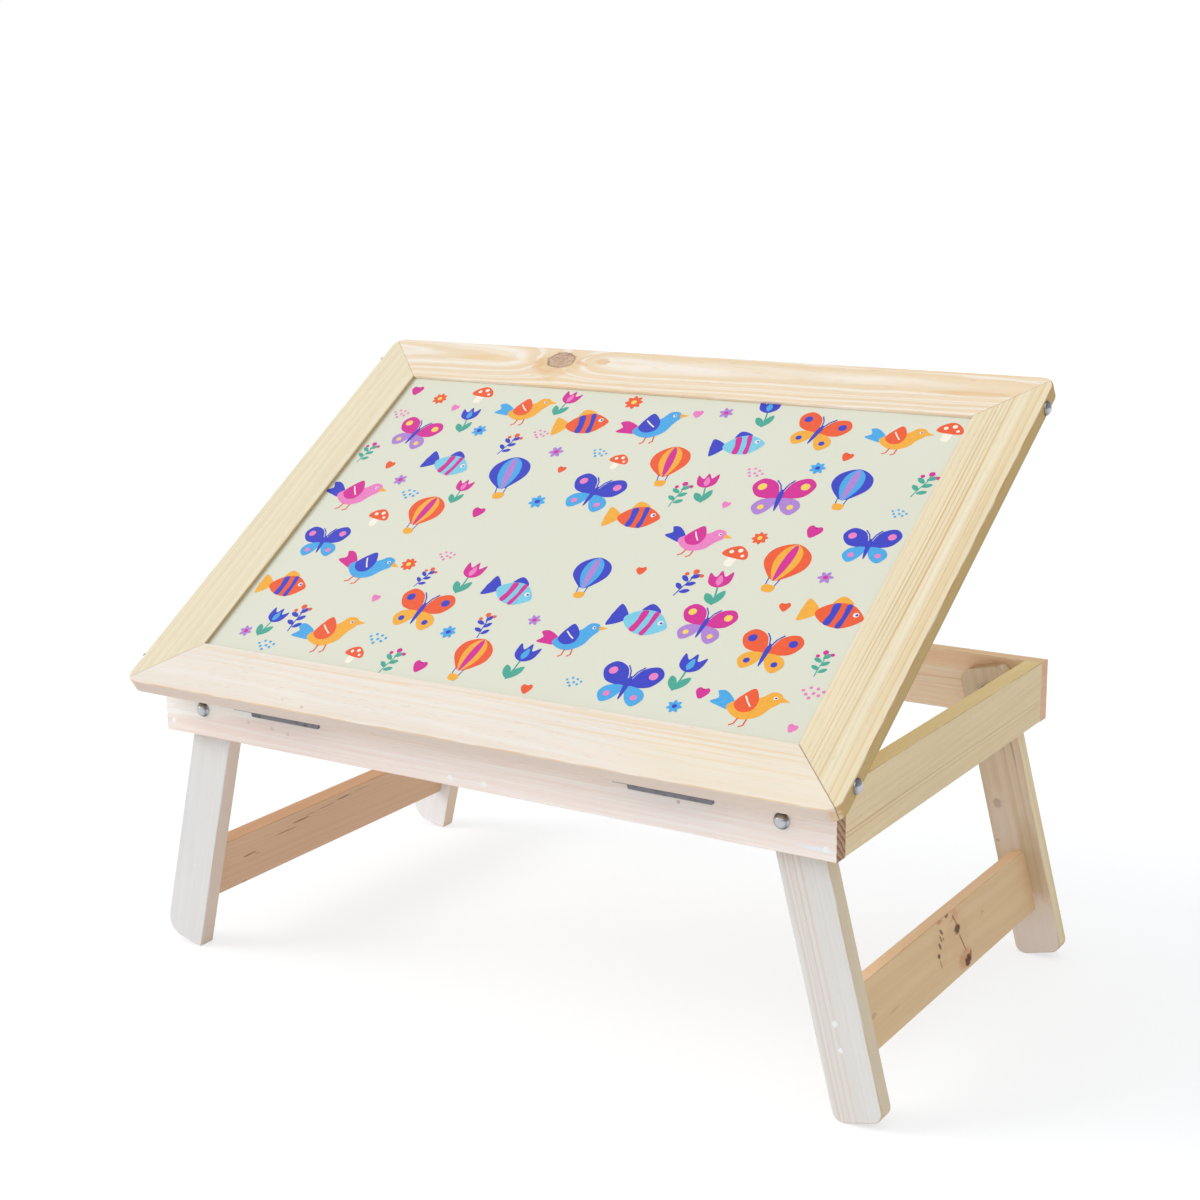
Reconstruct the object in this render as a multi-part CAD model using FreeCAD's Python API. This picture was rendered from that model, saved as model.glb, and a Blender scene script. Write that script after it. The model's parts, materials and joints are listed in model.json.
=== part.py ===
import FreeCAD, Part
import math
import os

# Folding study table in pine: a low box on two folding leg frames, with a framed top that tilts up.
# X runs to the right, Y to the back and Z up from the floor. Lengths are in millimetres and
# angles in degrees. The table stands with its legs out and its top tilted.

V = FreeCAD.Vector
RIGHT = V(1, 0, 0)
BACK = V(0, 1, 0)
UP = V(0, 0, 1)
FULL_TURN = 360
SIDES = (("left", -1), ("right", 1))

# Box under the top: two long rails with two side rails between them
box_length = 571.0
box_depth = 363.0
rail_height = 47.0
rail_thickness = 12.5
side_rail_thickness = 14.0
board_ease = 0.8

# Tilting top: four mitred boards round a thin panel
front_overhang = 25.0
back_overhang = 26.5
side_overhang = 14.5
closing_gap = 0.3
top_thickness = 12.0
top_board_width = 47.5
top_corner_radius = 11.0
top_ease = 1.3
opening_ease = 0.8
mitre_gap = 0.25
panel_thickness = 3.5
panel_rise = 5.8
groove_depth = 8.0
groove_play = 0.25
panel_side_play = 0.8
tilt_angle = 32.7

# Legs and stretchers
leg_width = 36.5
leg_thickness = 14.0
leg_above_pivot = 20.0
leg_top_radius = 9.0
leg_ease = 1.0
foot_inner_radius = {"left": 2.0, "right": 8.0}
foot_outer_radius = {"left": 15.0, "right": 8.0}
splay_angle = 14.0
pivot_rise = 21.5
stop_gap = 0.3
stretcher_width = 47.0
stretcher_thickness = 12.5
stretcher_drop = 150.0
stretcher_outset = 4.5

# Centre slat across the bottom of the box, and the prop strut on it
slat_width = 47.0
slat_thickness = 12.0
folded_leg_gap = 14.5
prop_pivot_back = 160.0
strut_width = 36.0
prop_gap = 0.3

# Pivot bolts with square necks, their washers and nuts
bolt_radius = 3.0
bolt_head_radius = 5.7
bolt_head_height = 4.6
bolt_head_rim = 1.0
bolt_neck_depth = 4.0
bolt_tail = 1.0
washer_radius = 6.0
spacer_thickness = 1.0
nut_washer_thickness = 1.6
nut_across_flats = 10.0
nut_height = 5.0
leg_side_gap = 0.3
bolt_fit = 0.08
still_fit = 0.05

# Domed screws through the side edges of the top
corner_screw_head_radius = 5.3
corner_screw_head_height = 3.6
corner_screw_radius = 2.5
corner_screw_length = 50.0
corner_screw_inset = 27.0

# Nails
nail_radius = 1.1
nail_head_radius = 2.0
nail_head_thickness = 0.8
nail_length = 35.0
nail_sink = 0.3
nail_edge_distance = 8.0
stretcher_nail_spacing = 18.0
slat_nail_spacing = 29.0

# Tilt hinges, set in the corner between the front rail's face and the top's overhang
tilt_hinge_length = 65.0
tilt_hinge_spacing = 330.0
tilt_leaf_width = 22.0
tilt_leaf_thickness = 1.2
tilt_barrel_radius = 1.7
tilt_pin_radius = 0.9
tilt_knuckles = 5
tilt_screw_end_distance = 5.0
tilt_screw_edge_distance = 4.0
tilt_screw_middle_rise = 6.0

# Small hinge between the prop strut and the slat
prop_hinge_length = 30.0
prop_leaf_width = 18.0
prop_leaf_thickness = 1.2
prop_barrel_radius = 1.8
prop_pin_radius = 1.0
prop_knuckles = 3
prop_screw_end_distance = 7.0
prop_screw_edge_distance = 6.0

# What the two kinds of hinge share
hinge_clearance = 0.3
pin_fit = 0.05
leaf_corner_radius = 1.5
hinge_screw_length = 10.0
hinge_screw_radius = 1.4
hinge_screw_head_radius = 2.7
hinge_screw_head_depth = 1.2
screw_tip_radius = 0.3
screw_tip_length = 2.5
cross_width = 0.7
cross_length = 3.0
cross_depth = 0.8

# Overrun of cuts past a face, and the distance under which two points are one
overrun = 5.0
same_point = 0.001

# Places worked out from the sizes
splay = math.radians(splay_angle)
tilt = math.radians(tilt_angle)

# A leg stops with its outer edge on the lower inner edge of the side rail
stop_down_leg = (pivot_rise + leg_width / 2 * math.sin(splay)) / math.cos(splay)
stop_across = stop_down_leg * math.sin(splay) + leg_width / 2 * math.cos(splay)
side_rail_inside = box_length / 2 - side_rail_thickness
pivot_x = side_rail_inside - stop_gap - stop_across
leg_reach = {"right": pivot_x - slat_width / 2 - folded_leg_gap}


# The inner corner of a foot is its lowest point, and it stands on the floor. The feet of the left
# frame are less rounded there, so its legs are a little shorter
def foot_corner_drop(side):
    """How far a foot's inner corner lies below the middle line of its leg."""
    radius = foot_inner_radius[side]
    return radius + (leg_width / 2 - radius) * math.sin(splay)


right_line = (leg_reach["right"] - foot_inner_radius["right"]) * math.cos(splay)
pivot_z = right_line + foot_corner_drop("right")
left_line = pivot_z - foot_corner_drop("left")
leg_reach["left"] = left_line / math.cos(splay) + foot_inner_radius["left"]
rail_bottom = pivot_z - pivot_rise
rail_top = rail_bottom + rail_height
slat_top = rail_bottom + slat_thickness

# The tilt axis stands off both the rail's face and the underside of the closed top
tilt_standoff = tilt_barrel_radius + hinge_clearance
top_underside = rail_top + closing_gap
tilt_axis_y = -tilt_standoff
tilt_axis_z = top_underside - tilt_standoff
top_length = box_length + 2 * side_overhang
top_depth = box_depth + front_overhang + back_overhang
top_front = -front_overhang
top_back = top_front + top_depth
panel_underside = top_underside + panel_rise

# The prop pivot lies as far from the tilt axis as from the nose of the strut, so the nose stays
# on one line through the tilt axis while the strut turns twice as fast as the top
prop_standoff = prop_barrel_radius + hinge_clearance
prop_axis_y = tilt_axis_y + prop_pivot_back
prop_axis_z = slat_top + prop_standoff
prop_drop = tilt_axis_z - prop_axis_z
prop_length = math.hypot(prop_pivot_back, prop_drop)
nose_radius = tilt_standoff + panel_rise - prop_gap
nose_angle = 2 * tilt + math.atan2(prop_drop, prop_pivot_back)
strut_angle = nose_angle - math.asin((nose_radius + prop_standoff) / prop_length)

# The legs and their fasteners lie just inside the long rails
leg_outside = rail_thickness + spacer_thickness + leg_side_gap
leg_inside = leg_outside + leg_thickness
nut_washer_start = leg_inside + leg_side_gap
nut_start = nut_washer_start + nut_washer_thickness
bolt_end = nut_start + nut_height + bolt_tail

# The origin lies on the floor under the middle of the whole table's box
def foot_extent(side):
    """How far a splayed foot reaches sideways from the middle of the box."""
    radius = foot_outer_radius[side]
    out = (leg_reach[side] - radius) * math.sin(splay) + (leg_width / 2 - radius) * math.cos(splay)
    return pivot_x + out + radius


def tilted_y(y, z):
    """Where a point of the closed top lies along Y once the top is tilted."""
    return tilt_axis_y + (y - tilt_axis_y) * math.cos(tilt) - (z - tilt_axis_z) * math.sin(tilt)


front_extent = tilted_y(top_front + top_ease, top_underside + top_thickness - top_ease) - top_ease
back_extent = box_depth + bolt_head_height
origin_x = (foot_extent("right") - foot_extent("left")) / 2
origin_y = (front_extent + back_extent) / 2

os.makedirs("parts", exist_ok=True)


def save(name, solids):
    """Writes one piece, or a group of like pieces, measured from the table's origin."""
    solids = [solid for shape in solids for solid in shape.Solids]
    piece = solids[0].copy() if len(solids) == 1 else Part.makeCompound(solids)
    piece.translate(V(-origin_x, -origin_y, 0))
    piece.exportStep("parts/" + name + ".step")


def rounded_face(corners, radii):
    """A flat face through the corners, each rounded to its own radius."""
    arcs = []
    for index, corner in enumerate(corners):
        to_last = (corners[index - 1] - corner).normalize()
        to_next = (corners[(index + 1) % len(corners)] - corner).normalize()
        inward = (to_last + to_next).normalize()
        half_angle = to_last.getAngle(to_next) / 2
        setback = radii[index] / math.tan(half_angle)
        middle = corner + inward * (radii[index] / math.sin(half_angle) - radii[index])
        arcs.append((corner + to_last * setback, middle, corner + to_next * setback))
    edges = []
    for index, (start, middle, end) in enumerate(arcs):
        if radii[index]:
            edges.append(Part.Arc(start, middle, end).toShape())
        next_start = arcs[(index + 1) % len(arcs)][0]
        if (next_start - end).Length > same_point:
            edges.append(Part.LineSegment(end, next_start).toShape())
    return Part.Face(Part.Wire(edges))


def board(x, y, z, grain):
    """A board between three (low, high) spans, its long arrises eased along the grain."""
    spans = (x, y, z)
    first_way, second_way = [way for way in range(len(spans)) if way != grain]
    corners = []
    for first, second in ((0, 0), (1, 0), (1, 1), (0, 1)):
        point = [span[0] for span in spans]
        point[first_way] = spans[first_way][first]
        point[second_way] = spans[second_way][second]
        corners.append(V(*point))
    length = spans[grain][1] - spans[grain][0]
    way = (RIGHT, BACK, UP)[grain]
    return rounded_face(corners, [board_ease] * len(corners)).extrude(way * length)


def turned(profile, grow=0):
    """A round piece on the Z axis, from (radius, height) points listed from the top down."""
    outline = [V(0, 0, profile[0][1])]
    outline += [V(radius + grow, 0, height) for radius, height in profile]
    outline += [V(0, 0, profile[-1][1]), outline[0]]
    return Part.Face(Part.makePolygon(outline)).revolve(V(), UP, FULL_TURN)


def dome(radius, height):
    """A domed head standing on Z = 0, with a short straight rim under its crown."""
    crown = height - bolt_head_rim
    ball = (radius ** 2 + crown ** 2) / (2 * crown)
    half_angle = math.asin(radius / ball) / 2
    side = V(ball * math.sin(half_angle), 0, height - ball * (1 - math.cos(half_angle)))
    rim = V(radius, 0, bolt_head_rim)
    edges = [
        Part.LineSegment(V(), V(radius, 0, 0)).toShape(),
        Part.LineSegment(V(radius, 0, 0), rim).toShape(),
        Part.Arc(rim, side, V(0, 0, height)).toShape(),
        Part.LineSegment(V(0, 0, height), V()).toShape(),
    ]
    return Part.Face(Part.Wire(edges)).revolve(V(), UP, FULL_TURN)


def rod(radius, start, end):
    """A round bar from one point to another."""
    return Part.makeCylinder(radius, (end - start).Length, start, end - start)


def placed(shape, at, out, side=RIGHT):
    """Puts a piece made about the origin at a point, its Z turned to out and its X to side."""
    turn = FreeCAD.Rotation(side, out.cross(side), out, "ZXY")
    piece = shape.copy()
    piece.Placement = FreeCAD.Placement(at, turn).multiply(shape.Placement)
    return piece


def tilted(shape):
    """Turns a piece of the closed top about the tilt axis to where it stands."""
    piece = shape.copy()
    piece.rotate(V(0, tilt_axis_y, tilt_axis_z), RIGHT, tilt_angle)
    return piece


def nail(grow=0):
    """A nail with its head's face a little below Z = 0, or its hole when grown."""
    tip = nail_length - screw_tip_length
    top = nail_sink if grow else 0
    profile = [
        (nail_head_radius, top - nail_sink),
        (nail_head_radius, -nail_sink - nail_head_thickness),
        (nail_radius, -nail_sink - nail_head_thickness),
        (nail_radius, -tip),
        (screw_tip_radius, -nail_length),
    ]
    return turned(profile, grow)


def hinge_screw(grow=0):
    """A countersunk wood screw with its head flush at Z = 0, or its hole when grown."""
    profile = [
        (hinge_screw_head_radius, 0),
        (hinge_screw_radius, -hinge_screw_head_depth),
        (hinge_screw_radius, screw_tip_length - hinge_screw_length),
        (screw_tip_radius, -hinge_screw_length),
    ]
    screw = turned(profile, grow)
    if grow:
        return screw
    for length, width in ((cross_length, cross_width), (cross_width, cross_length)):
        corner = V(-length / 2, -width / 2, -cross_depth)
        screw = screw.cut(Part.makeBox(length, width, cross_depth + overrun, corner))
    return screw


def corner_screw(grow=0):
    """A domed screw whose head stands on Z = 0, or the hole for its shank when grown."""
    profile = [
        (corner_screw_radius, 0),
        (corner_screw_radius, screw_tip_length - corner_screw_length),
        (screw_tip_radius, -corner_screw_length),
    ]
    shank = turned(profile, grow)
    if grow:
        return shank
    return shank.fuse(dome(corner_screw_head_radius, corner_screw_head_height))


def pivot_bolt(grow=0):
    """A domed bolt with a square neck, its head on Z = 0, or the hole for it when grown."""
    half = bolt_radius + grow
    neck = Part.makeBox(2 * half, 2 * half, bolt_neck_depth, V(-half, -half, -bolt_neck_depth))
    shank = rod(half, V(), V(0, 0, -bolt_end))
    if grow:
        return neck.fuse(shank)
    return dome(bolt_head_radius, bolt_head_height).fuse([neck, shank])


def washer(thickness):
    """A flat washer standing on Z = 0."""
    ring = rod(washer_radius, V(), V(0, 0, thickness))
    return ring.cut(rod(bolt_radius + still_fit, V(), V(0, 0, thickness)))


def nut():
    """A hexagon nut standing on Z = 0, its corners turned down at the top."""
    corner_radius = nut_across_flats / math.sqrt(3)
    corners = []
    for sixth in range(6):
        angle = math.radians(FULL_TURN / 6 * sixth)
        corners.append(V(corner_radius * math.cos(angle), corner_radius * math.sin(angle), 0))
    body = Part.Face(Part.makePolygon(corners + corners[:1])).extrude(UP * nut_height)
    turned_down = corner_radius - nut_across_flats / 2
    cone = [
        (nut_across_flats / 2, nut_height),
        (corner_radius, nut_height - turned_down),
        (corner_radius, 0),
    ]
    body = body.common(turned(cone))
    return body.cut(rod(bolt_radius + still_fit, V(), V(0, 0, nut_height)))


# The four pivot bolts, each from outside a long rail, and what is threaded on them
bolt_spots = []
for end_y, inward in ((0, BACK), (box_depth, -BACK)):
    for side_name, side in SIDES:
        bolt_spots.append((V(side * pivot_x, end_y, pivot_z), inward))


def on_bolts(shape, depth):
    """Copies of a piece, one on each pivot bolt, standing a given depth inside the rail's face."""
    return [placed(shape, spot + inward * depth, inward) for spot, inward in bolt_spots]


bolt_holes = [placed(pivot_bolt(still_fit), spot, -inward) for spot, inward in bolt_spots]
save("pivot_bolts", [placed(pivot_bolt(), spot, -inward) for spot, inward in bolt_spots])
save("spacer_washers", on_bolts(washer(spacer_thickness), rail_thickness))
save("nut_washers", on_bolts(washer(nut_washer_thickness), nut_washer_start))
save("pivot_nuts", on_bolts(nut(), nut_start))

# Nails through the long rails, into the ends of the side rails and of the slat
rail_nail_spots = []
slat_nail_spots = []
for end_y, inward in ((0, BACK), (box_depth, -BACK)):
    for side_name, side in SIDES:
        nail_x = side * (box_length - side_rail_thickness) / 2
        for nail_z in (rail_bottom + nail_edge_distance, rail_top - nail_edge_distance):
            rail_nail_spots.append((V(nail_x, end_y, nail_z), inward))
        slat_nail = V(side * slat_nail_spacing / 2, end_y, rail_bottom + slat_thickness / 2)
        slat_nail_spots.append((slat_nail, inward))


def nails(spots, grow=0):
    """Nails, or their holes, driven at each spot in the direction that goes with it."""
    return [placed(nail(grow), spot, -inward) for spot, inward in spots]


save("rail_nails", nails(rail_nail_spots))
save("slat_nails", nails(slat_nail_spots))
box_nail_holes = nails(rail_nail_spots + slat_nail_spots, still_fit)


# Butt hinges are made about their axis, which is the X axis. A leaf runs along Y on wood whose
# face is the stand-off below the axis, and its screws go down into the wood.
def knuckle_spans(length, knuckles, first):
    """The X spans of every second knuckle, starting with the first or the second."""
    pitch = length / knuckles
    gap = hinge_clearance / 2
    spans = []
    for knuckle in range(first, knuckles, 2):
        start = -length / 2 + pitch * knuckle
        spans.append((start + gap, start + pitch - gap))
    return spans


def hinge_leaf(length, width, thickness, barrel_radius, pin_radius, spans, screw_spots):
    """One leaf of a butt hinge with its knuckles, drilled for the pin and countersunk screws."""
    standoff = barrel_radius + hinge_clearance
    floor = -standoff
    corners = [
        V(-length / 2, standoff, floor),
        V(length / 2, standoff, floor),
        V(length / 2, width, floor),
        V(-length / 2, width, floor),
    ]
    radii = [0, 0, leaf_corner_radius, leaf_corner_radius]
    leaf = rounded_face(corners, radii).extrude(UP * thickness)
    for start, end in spans:
        tongue = Part.makeBox(end - start, standoff, thickness, V(start, 0, floor))
        knuckle = rod(barrel_radius, V(start, 0, 0), V(end, 0, 0))
        leaf = leaf.fuse([tongue, knuckle])
    reach = RIGHT * (length / 2 + overrun)
    leaf = leaf.cut(rod(pin_radius + pin_fit, -reach, reach))
    for x, y in screw_spots:
        leaf = leaf.cut(placed(hinge_screw(still_fit), V(x, y, floor + thickness), UP))
    return leaf.removeSplitter()


def hinge_screws(thickness, barrel_radius, screw_spots, grow=0):
    """The screws of one leaf, or their holes, in the leaf's own place."""
    head = thickness - barrel_radius - hinge_clearance
    return [placed(hinge_screw(grow), V(x, y, head), UP) for x, y in screw_spots]


def seated(shapes, at, along, out):
    """Puts pieces made about a hinge axis at a point, their Y turned along and their Z out."""
    return [placed(shape, at, out, along.cross(out)) for shape in shapes]


# Tilt hinges: the lower leaf is on the front rail's face, the upper one under the top's overhang
low_y = tilt_leaf_width - tilt_screw_edge_distance
end_x = tilt_hinge_length / 2 - tilt_screw_end_distance
tilt_screw_spots = [(-end_x, low_y), (0, low_y - tilt_screw_middle_rise), (end_x, low_y)]
tilt_sizes = (tilt_leaf_thickness, tilt_barrel_radius)
tilt_plate = (tilt_hinge_length, tilt_leaf_width) + tilt_sizes + (tilt_pin_radius,)
tilt_screws = hinge_screws(*tilt_sizes, tilt_screw_spots)
tilt_screw_holes = hinge_screws(*tilt_sizes, tilt_screw_spots, still_fit)
lower_leaf = hinge_leaf(*tilt_plate, knuckle_spans(tilt_hinge_length, tilt_knuckles, 0), tilt_screw_spots)
upper_leaf = hinge_leaf(*tilt_plate, knuckle_spans(tilt_hinge_length, tilt_knuckles, 1), tilt_screw_spots)
lower_screws = []
lower_screw_holes = []
upper_screws = []
upper_screw_holes = []
for side_name, side in SIDES:
    hinge_at = V(side * tilt_hinge_spacing / 2, tilt_axis_y, tilt_axis_z)
    half = RIGHT * (tilt_hinge_length / 2)
    save(side_name + "_hinge_lower_leaf", seated([lower_leaf], hinge_at, -UP, -BACK))
    save(side_name + "_hinge_pin", [rod(tilt_pin_radius, hinge_at - half, hinge_at + half)])
    lower_screws += seated(tilt_screws, hinge_at, -UP, -BACK)
    lower_screw_holes += seated(tilt_screw_holes, hinge_at, -UP, -BACK)
    closed_leaf = seated([upper_leaf], hinge_at, -BACK, -UP)
    save(side_name + "_hinge_upper_leaf", [tilted(closed_leaf[0])])
    upper_screws += seated(tilt_screws, hinge_at, -BACK, -UP)
    upper_screw_holes += seated(tilt_screw_holes, hinge_at, -BACK, -UP)
save("lower_leaf_screws", lower_screws)
save("upper_leaf_screws", [tilted(screw) for screw in upper_screws])

# Box: the long rails run past the ends of the side rails
box_x = (-box_length / 2, box_length / 2)
box_z = (rail_bottom, rail_top)
front_y = (0, rail_thickness)
back_y = (box_depth - rail_thickness, box_depth)
between_y = (rail_thickness, box_depth - rail_thickness)
front_rail = board(box_x, front_y, box_z, 0).cut(bolt_holes + box_nail_holes + lower_screw_holes)
back_rail = board(box_x, back_y, box_z, 0).cut(bolt_holes + box_nail_holes)
save("front_rail", [front_rail])
save("back_rail", [back_rail])
for side_name, side in SIDES:
    side_x = sorted((side * side_rail_inside, side * box_length / 2))
    save(side_name + "_rail", [board(side_x, between_y, box_z, 1).cut(box_nail_holes)])

# Centre slat and the hinge on which the prop strut folds down to the back
prop_axis = V(0, prop_axis_y, prop_axis_z)
prop_screw_x = prop_hinge_length / 2 - prop_screw_end_distance
prop_screw_y = prop_leaf_width - prop_screw_edge_distance
prop_screw_spots = [(-prop_screw_x, prop_screw_y), (prop_screw_x, prop_screw_y)]
prop_sizes = (prop_leaf_thickness, prop_barrel_radius)
prop_plate = (prop_hinge_length, prop_leaf_width) + prop_sizes + (prop_pin_radius,)
prop_screws = hinge_screws(*prop_sizes, prop_screw_spots)
prop_screw_holes = hinge_screws(*prop_sizes, prop_screw_spots, still_fit)
slat_leaf = hinge_leaf(*prop_plate, knuckle_spans(prop_hinge_length, prop_knuckles, 0), prop_screw_spots)
strut_leaf = hinge_leaf(*prop_plate, knuckle_spans(prop_hinge_length, prop_knuckles, 1), prop_screw_spots)
prop_half = RIGHT * (prop_hinge_length / 2)

slat = board((-slat_width / 2, slat_width / 2), between_y, (rail_bottom, slat_top), 1)
slat = slat.cut(box_nail_holes + seated(prop_screw_holes, prop_axis, BACK, UP))
save("centre_slat", [slat])
save("prop_hinge_slat_leaf", seated([slat_leaf], prop_axis, BACK, UP))
save("prop_hinge_pin", [rod(prop_pin_radius, prop_axis - prop_half, prop_axis + prop_half)])
save("slat_leaf_screws", seated(prop_screws, prop_axis, BACK, UP))

# Prop strut: a board with a round nose that bears under the panel, its foot cut level
strut_way = V(0, math.cos(strut_angle), math.sin(strut_angle))
strut_front = V(0, -math.sin(strut_angle), math.cos(strut_angle))
nose = prop_axis + V(0, math.cos(nose_angle), math.sin(nose_angle)) * prop_length
foot_level = slat_top + prop_gap


def strut_foot(face_point):
    """Where a face of the strut that passes through a point comes down to its level foot."""
    return face_point - strut_way * ((face_point.z - foot_level) / strut_way.z)


strut_corners = [
    strut_foot(nose - strut_front * nose_radius),
    nose + (strut_way - strut_front) * nose_radius,
    nose + (strut_way + strut_front) * nose_radius,
    strut_foot(nose + strut_front * nose_radius),
]
strut = rounded_face(strut_corners, [0, nose_radius, nose_radius, 0])
strut.translate(RIGHT * (-strut_width / 2))
strut = strut.extrude(RIGHT * strut_width)
strut_screw_holes = seated(prop_screw_holes, prop_axis, strut_way, -strut_front)
save("prop_strut", [strut.cut(strut_screw_holes)])
save("prop_hinge_strut_leaf", seated([strut_leaf], prop_axis, strut_way, -strut_front))
save("strut_leaf_screws", seated(prop_screws, prop_axis, strut_way, -strut_front))


# Leg frames: places on a leg are given down it from the pivot and outwards across it
def leg_point(side, y, down, out):
    """A point of a splayed leg on the side whose sign is given."""
    x = pivot_x + down * math.sin(splay) + out * math.cos(splay)
    return V(side * x, y, pivot_z - down * math.cos(splay) + out * math.sin(splay))


def leg(side_name, side, y):
    """A leg between two Y values, with a rounded head and foot and eased arrises."""
    half = leg_width / 2
    reach = leg_reach[side_name]
    places = [(-leg_above_pivot, -half), (-leg_above_pivot, half), (reach, half), (reach, -half)]
    corners = [leg_point(side, y[0], down, out) for down, out in places]
    foot_radii = [foot_outer_radius[side_name], foot_inner_radius[side_name]]
    radii = [leg_top_radius, leg_top_radius] + foot_radii
    blank = rounded_face(corners, radii).extrude(BACK * (y[1] - y[0]))
    outline = [edge for edge in blank.Edges if edge.BoundBox.YLength < same_point]
    return blank.makeFillet(leg_ease, outline)


stretcher_y = (leg_inside, box_depth - leg_inside)
stretcher_across = (stretcher_outset - stretcher_thickness, stretcher_outset)
for side_name, side in SIDES:
    front_leg = leg(side_name, side, (leg_outside, leg_inside))
    back_leg = leg(side_name, side, (box_depth - leg_inside, box_depth - leg_outside))
    axle = V(side * pivot_x, 0, pivot_z)
    axle_hole = rod(bolt_radius + bolt_fit, axle, axle + BACK * box_depth)
    spots = []
    for step in (-stretcher_nail_spacing / 2, stretcher_nail_spacing / 2):
        for face_y, inward in ((leg_outside, BACK), (box_depth - leg_outside, -BACK)):
            nail_at = leg_point(side, face_y, stretcher_drop + step, sum(stretcher_across) / 2)
            spots.append((nail_at, inward))
    holes = nails(spots, still_fit)
    corners = []
    for step, out in ((-1, 0), (1, 0), (1, 1), (-1, 1)):
        down = stretcher_drop + step * stretcher_width / 2
        corners.append(leg_point(side, stretcher_y[0], down, stretcher_across[out]))
    stretcher = rounded_face(corners, [board_ease] * len(corners))
    stretcher = stretcher.extrude(BACK * (stretcher_y[1] - stretcher_y[0]))
    save(side_name + "_front_leg", [front_leg.cut(holes + [axle_hole])])
    save(side_name + "_back_leg", [back_leg.cut(holes + [axle_hole])])
    save(side_name + "_stretcher", [stretcher.cut(holes)])
    save(side_name + "_stretcher_nails", nails(spots))

# Top: a slab with rounded corners and arrises, out of which each mitred board takes its share
slab_x = (-top_length / 2, top_length / 2)
slab_y = (top_front, top_back)
slab_corners = [
    V(slab_x[0], slab_y[0], top_underside),
    V(slab_x[1], slab_y[0], top_underside),
    V(slab_x[1], slab_y[1], top_underside),
    V(slab_x[0], slab_y[1], top_underside),
]
slab = rounded_face(slab_corners, [top_corner_radius] * len(slab_corners)).extrude(UP * top_thickness)
slab = slab.makeFillet(top_ease, [edge for edge in slab.Edges if edge.BoundBox.ZLength < same_point])

groove_low = panel_rise
groove_high = panel_rise + panel_thickness + groove_play
groove_start = top_board_width - groove_depth

corner_screw_spots = []
for side_name, side in SIDES:
    for spot_y in (top_front + corner_screw_inset, top_back - corner_screw_inset):
        spot = V(side * top_length / 2, spot_y, top_underside + top_thickness / 2)
        corner_screw_spots.append((spot, RIGHT * side))
corner_screw_holes = [
    placed(corner_screw(still_fit), spot, out, BACK) for spot, out in corner_screw_spots
]
corner_screws = [placed(corner_screw(), spot, out, BACK) for spot, out in corner_screw_spots]
save("corner_screws", [tilted(screw) for screw in corner_screws])


def top_board(start, end, inward):
    """A grooved board along the outer edge from start to end, mitred at both ends."""
    way = (end - start).normalize()
    profile = [
        (0, 0, 0),
        (top_board_width, 0, opening_ease),
        (top_board_width, groove_low, 0),
        (groove_start, groove_low, 0),
        (groove_start, groove_high, 0),
        (top_board_width, groove_high, 0),
        (top_board_width, top_thickness, opening_ease),
        (0, top_thickness, 0),
    ]
    corners = [start + inward * across + UP * rise for across, rise, radius in profile]
    stick = rounded_face(corners, [radius for across, rise, radius in profile]).extrude(end - start)
    mitre_width = top_board_width + overrun
    side_gap = way * (mitre_gap / math.sqrt(2))
    plan = [
        start + side_gap,
        end - side_gap,
        end - side_gap + (inward - way) * mitre_width,
        start + side_gap + (inward + way) * mitre_width,
    ]
    wedge = Part.Face(Part.makePolygon(plan + plan[:1])).extrude(UP * top_thickness)
    return stick.common(slab).common(wedge).cut(corner_screw_holes + upper_screw_holes)


front_left, front_right, back_right, back_left = slab_corners
save("top_front_board", [tilted(top_board(front_left, front_right, BACK))])
save("top_back_board", [tilted(top_board(back_left, back_right, -BACK))])
save("top_left_board", [tilted(top_board(front_left, back_left, RIGHT))])
save("top_right_board", [tilted(top_board(front_right, back_right, -RIGHT))])

# Panel: a thin printed sheet held in the grooves of the four boards
panel_inset = groove_start + panel_side_play
panel_corner = V(slab_x[0] + panel_inset, slab_y[0] + panel_inset, panel_underside)
panel_size = (top_length - 2 * panel_inset, top_depth - 2 * panel_inset, panel_thickness)
save("top_panel", [tilted(Part.makeBox(*panel_size, panel_corner))])

print("pivots", round(pivot_x, 3), round(pivot_z, 3), "legs", [round(leg_reach[side], 2) for side, _ in SIDES])
print("tilt axis", round(tilt_axis_y - origin_y, 3), round(tilt_axis_z, 3))
print("prop axis", round(prop_axis_y - origin_y, 3), round(prop_axis_z, 3))
print("origin", round(origin_x, 3), round(origin_y, 3), "rails", round(rail_bottom, 2), round(rail_top, 2))
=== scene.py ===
import json
import math
import random

import bmesh
import bpy
from mathutils import Matrix, Vector


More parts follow.
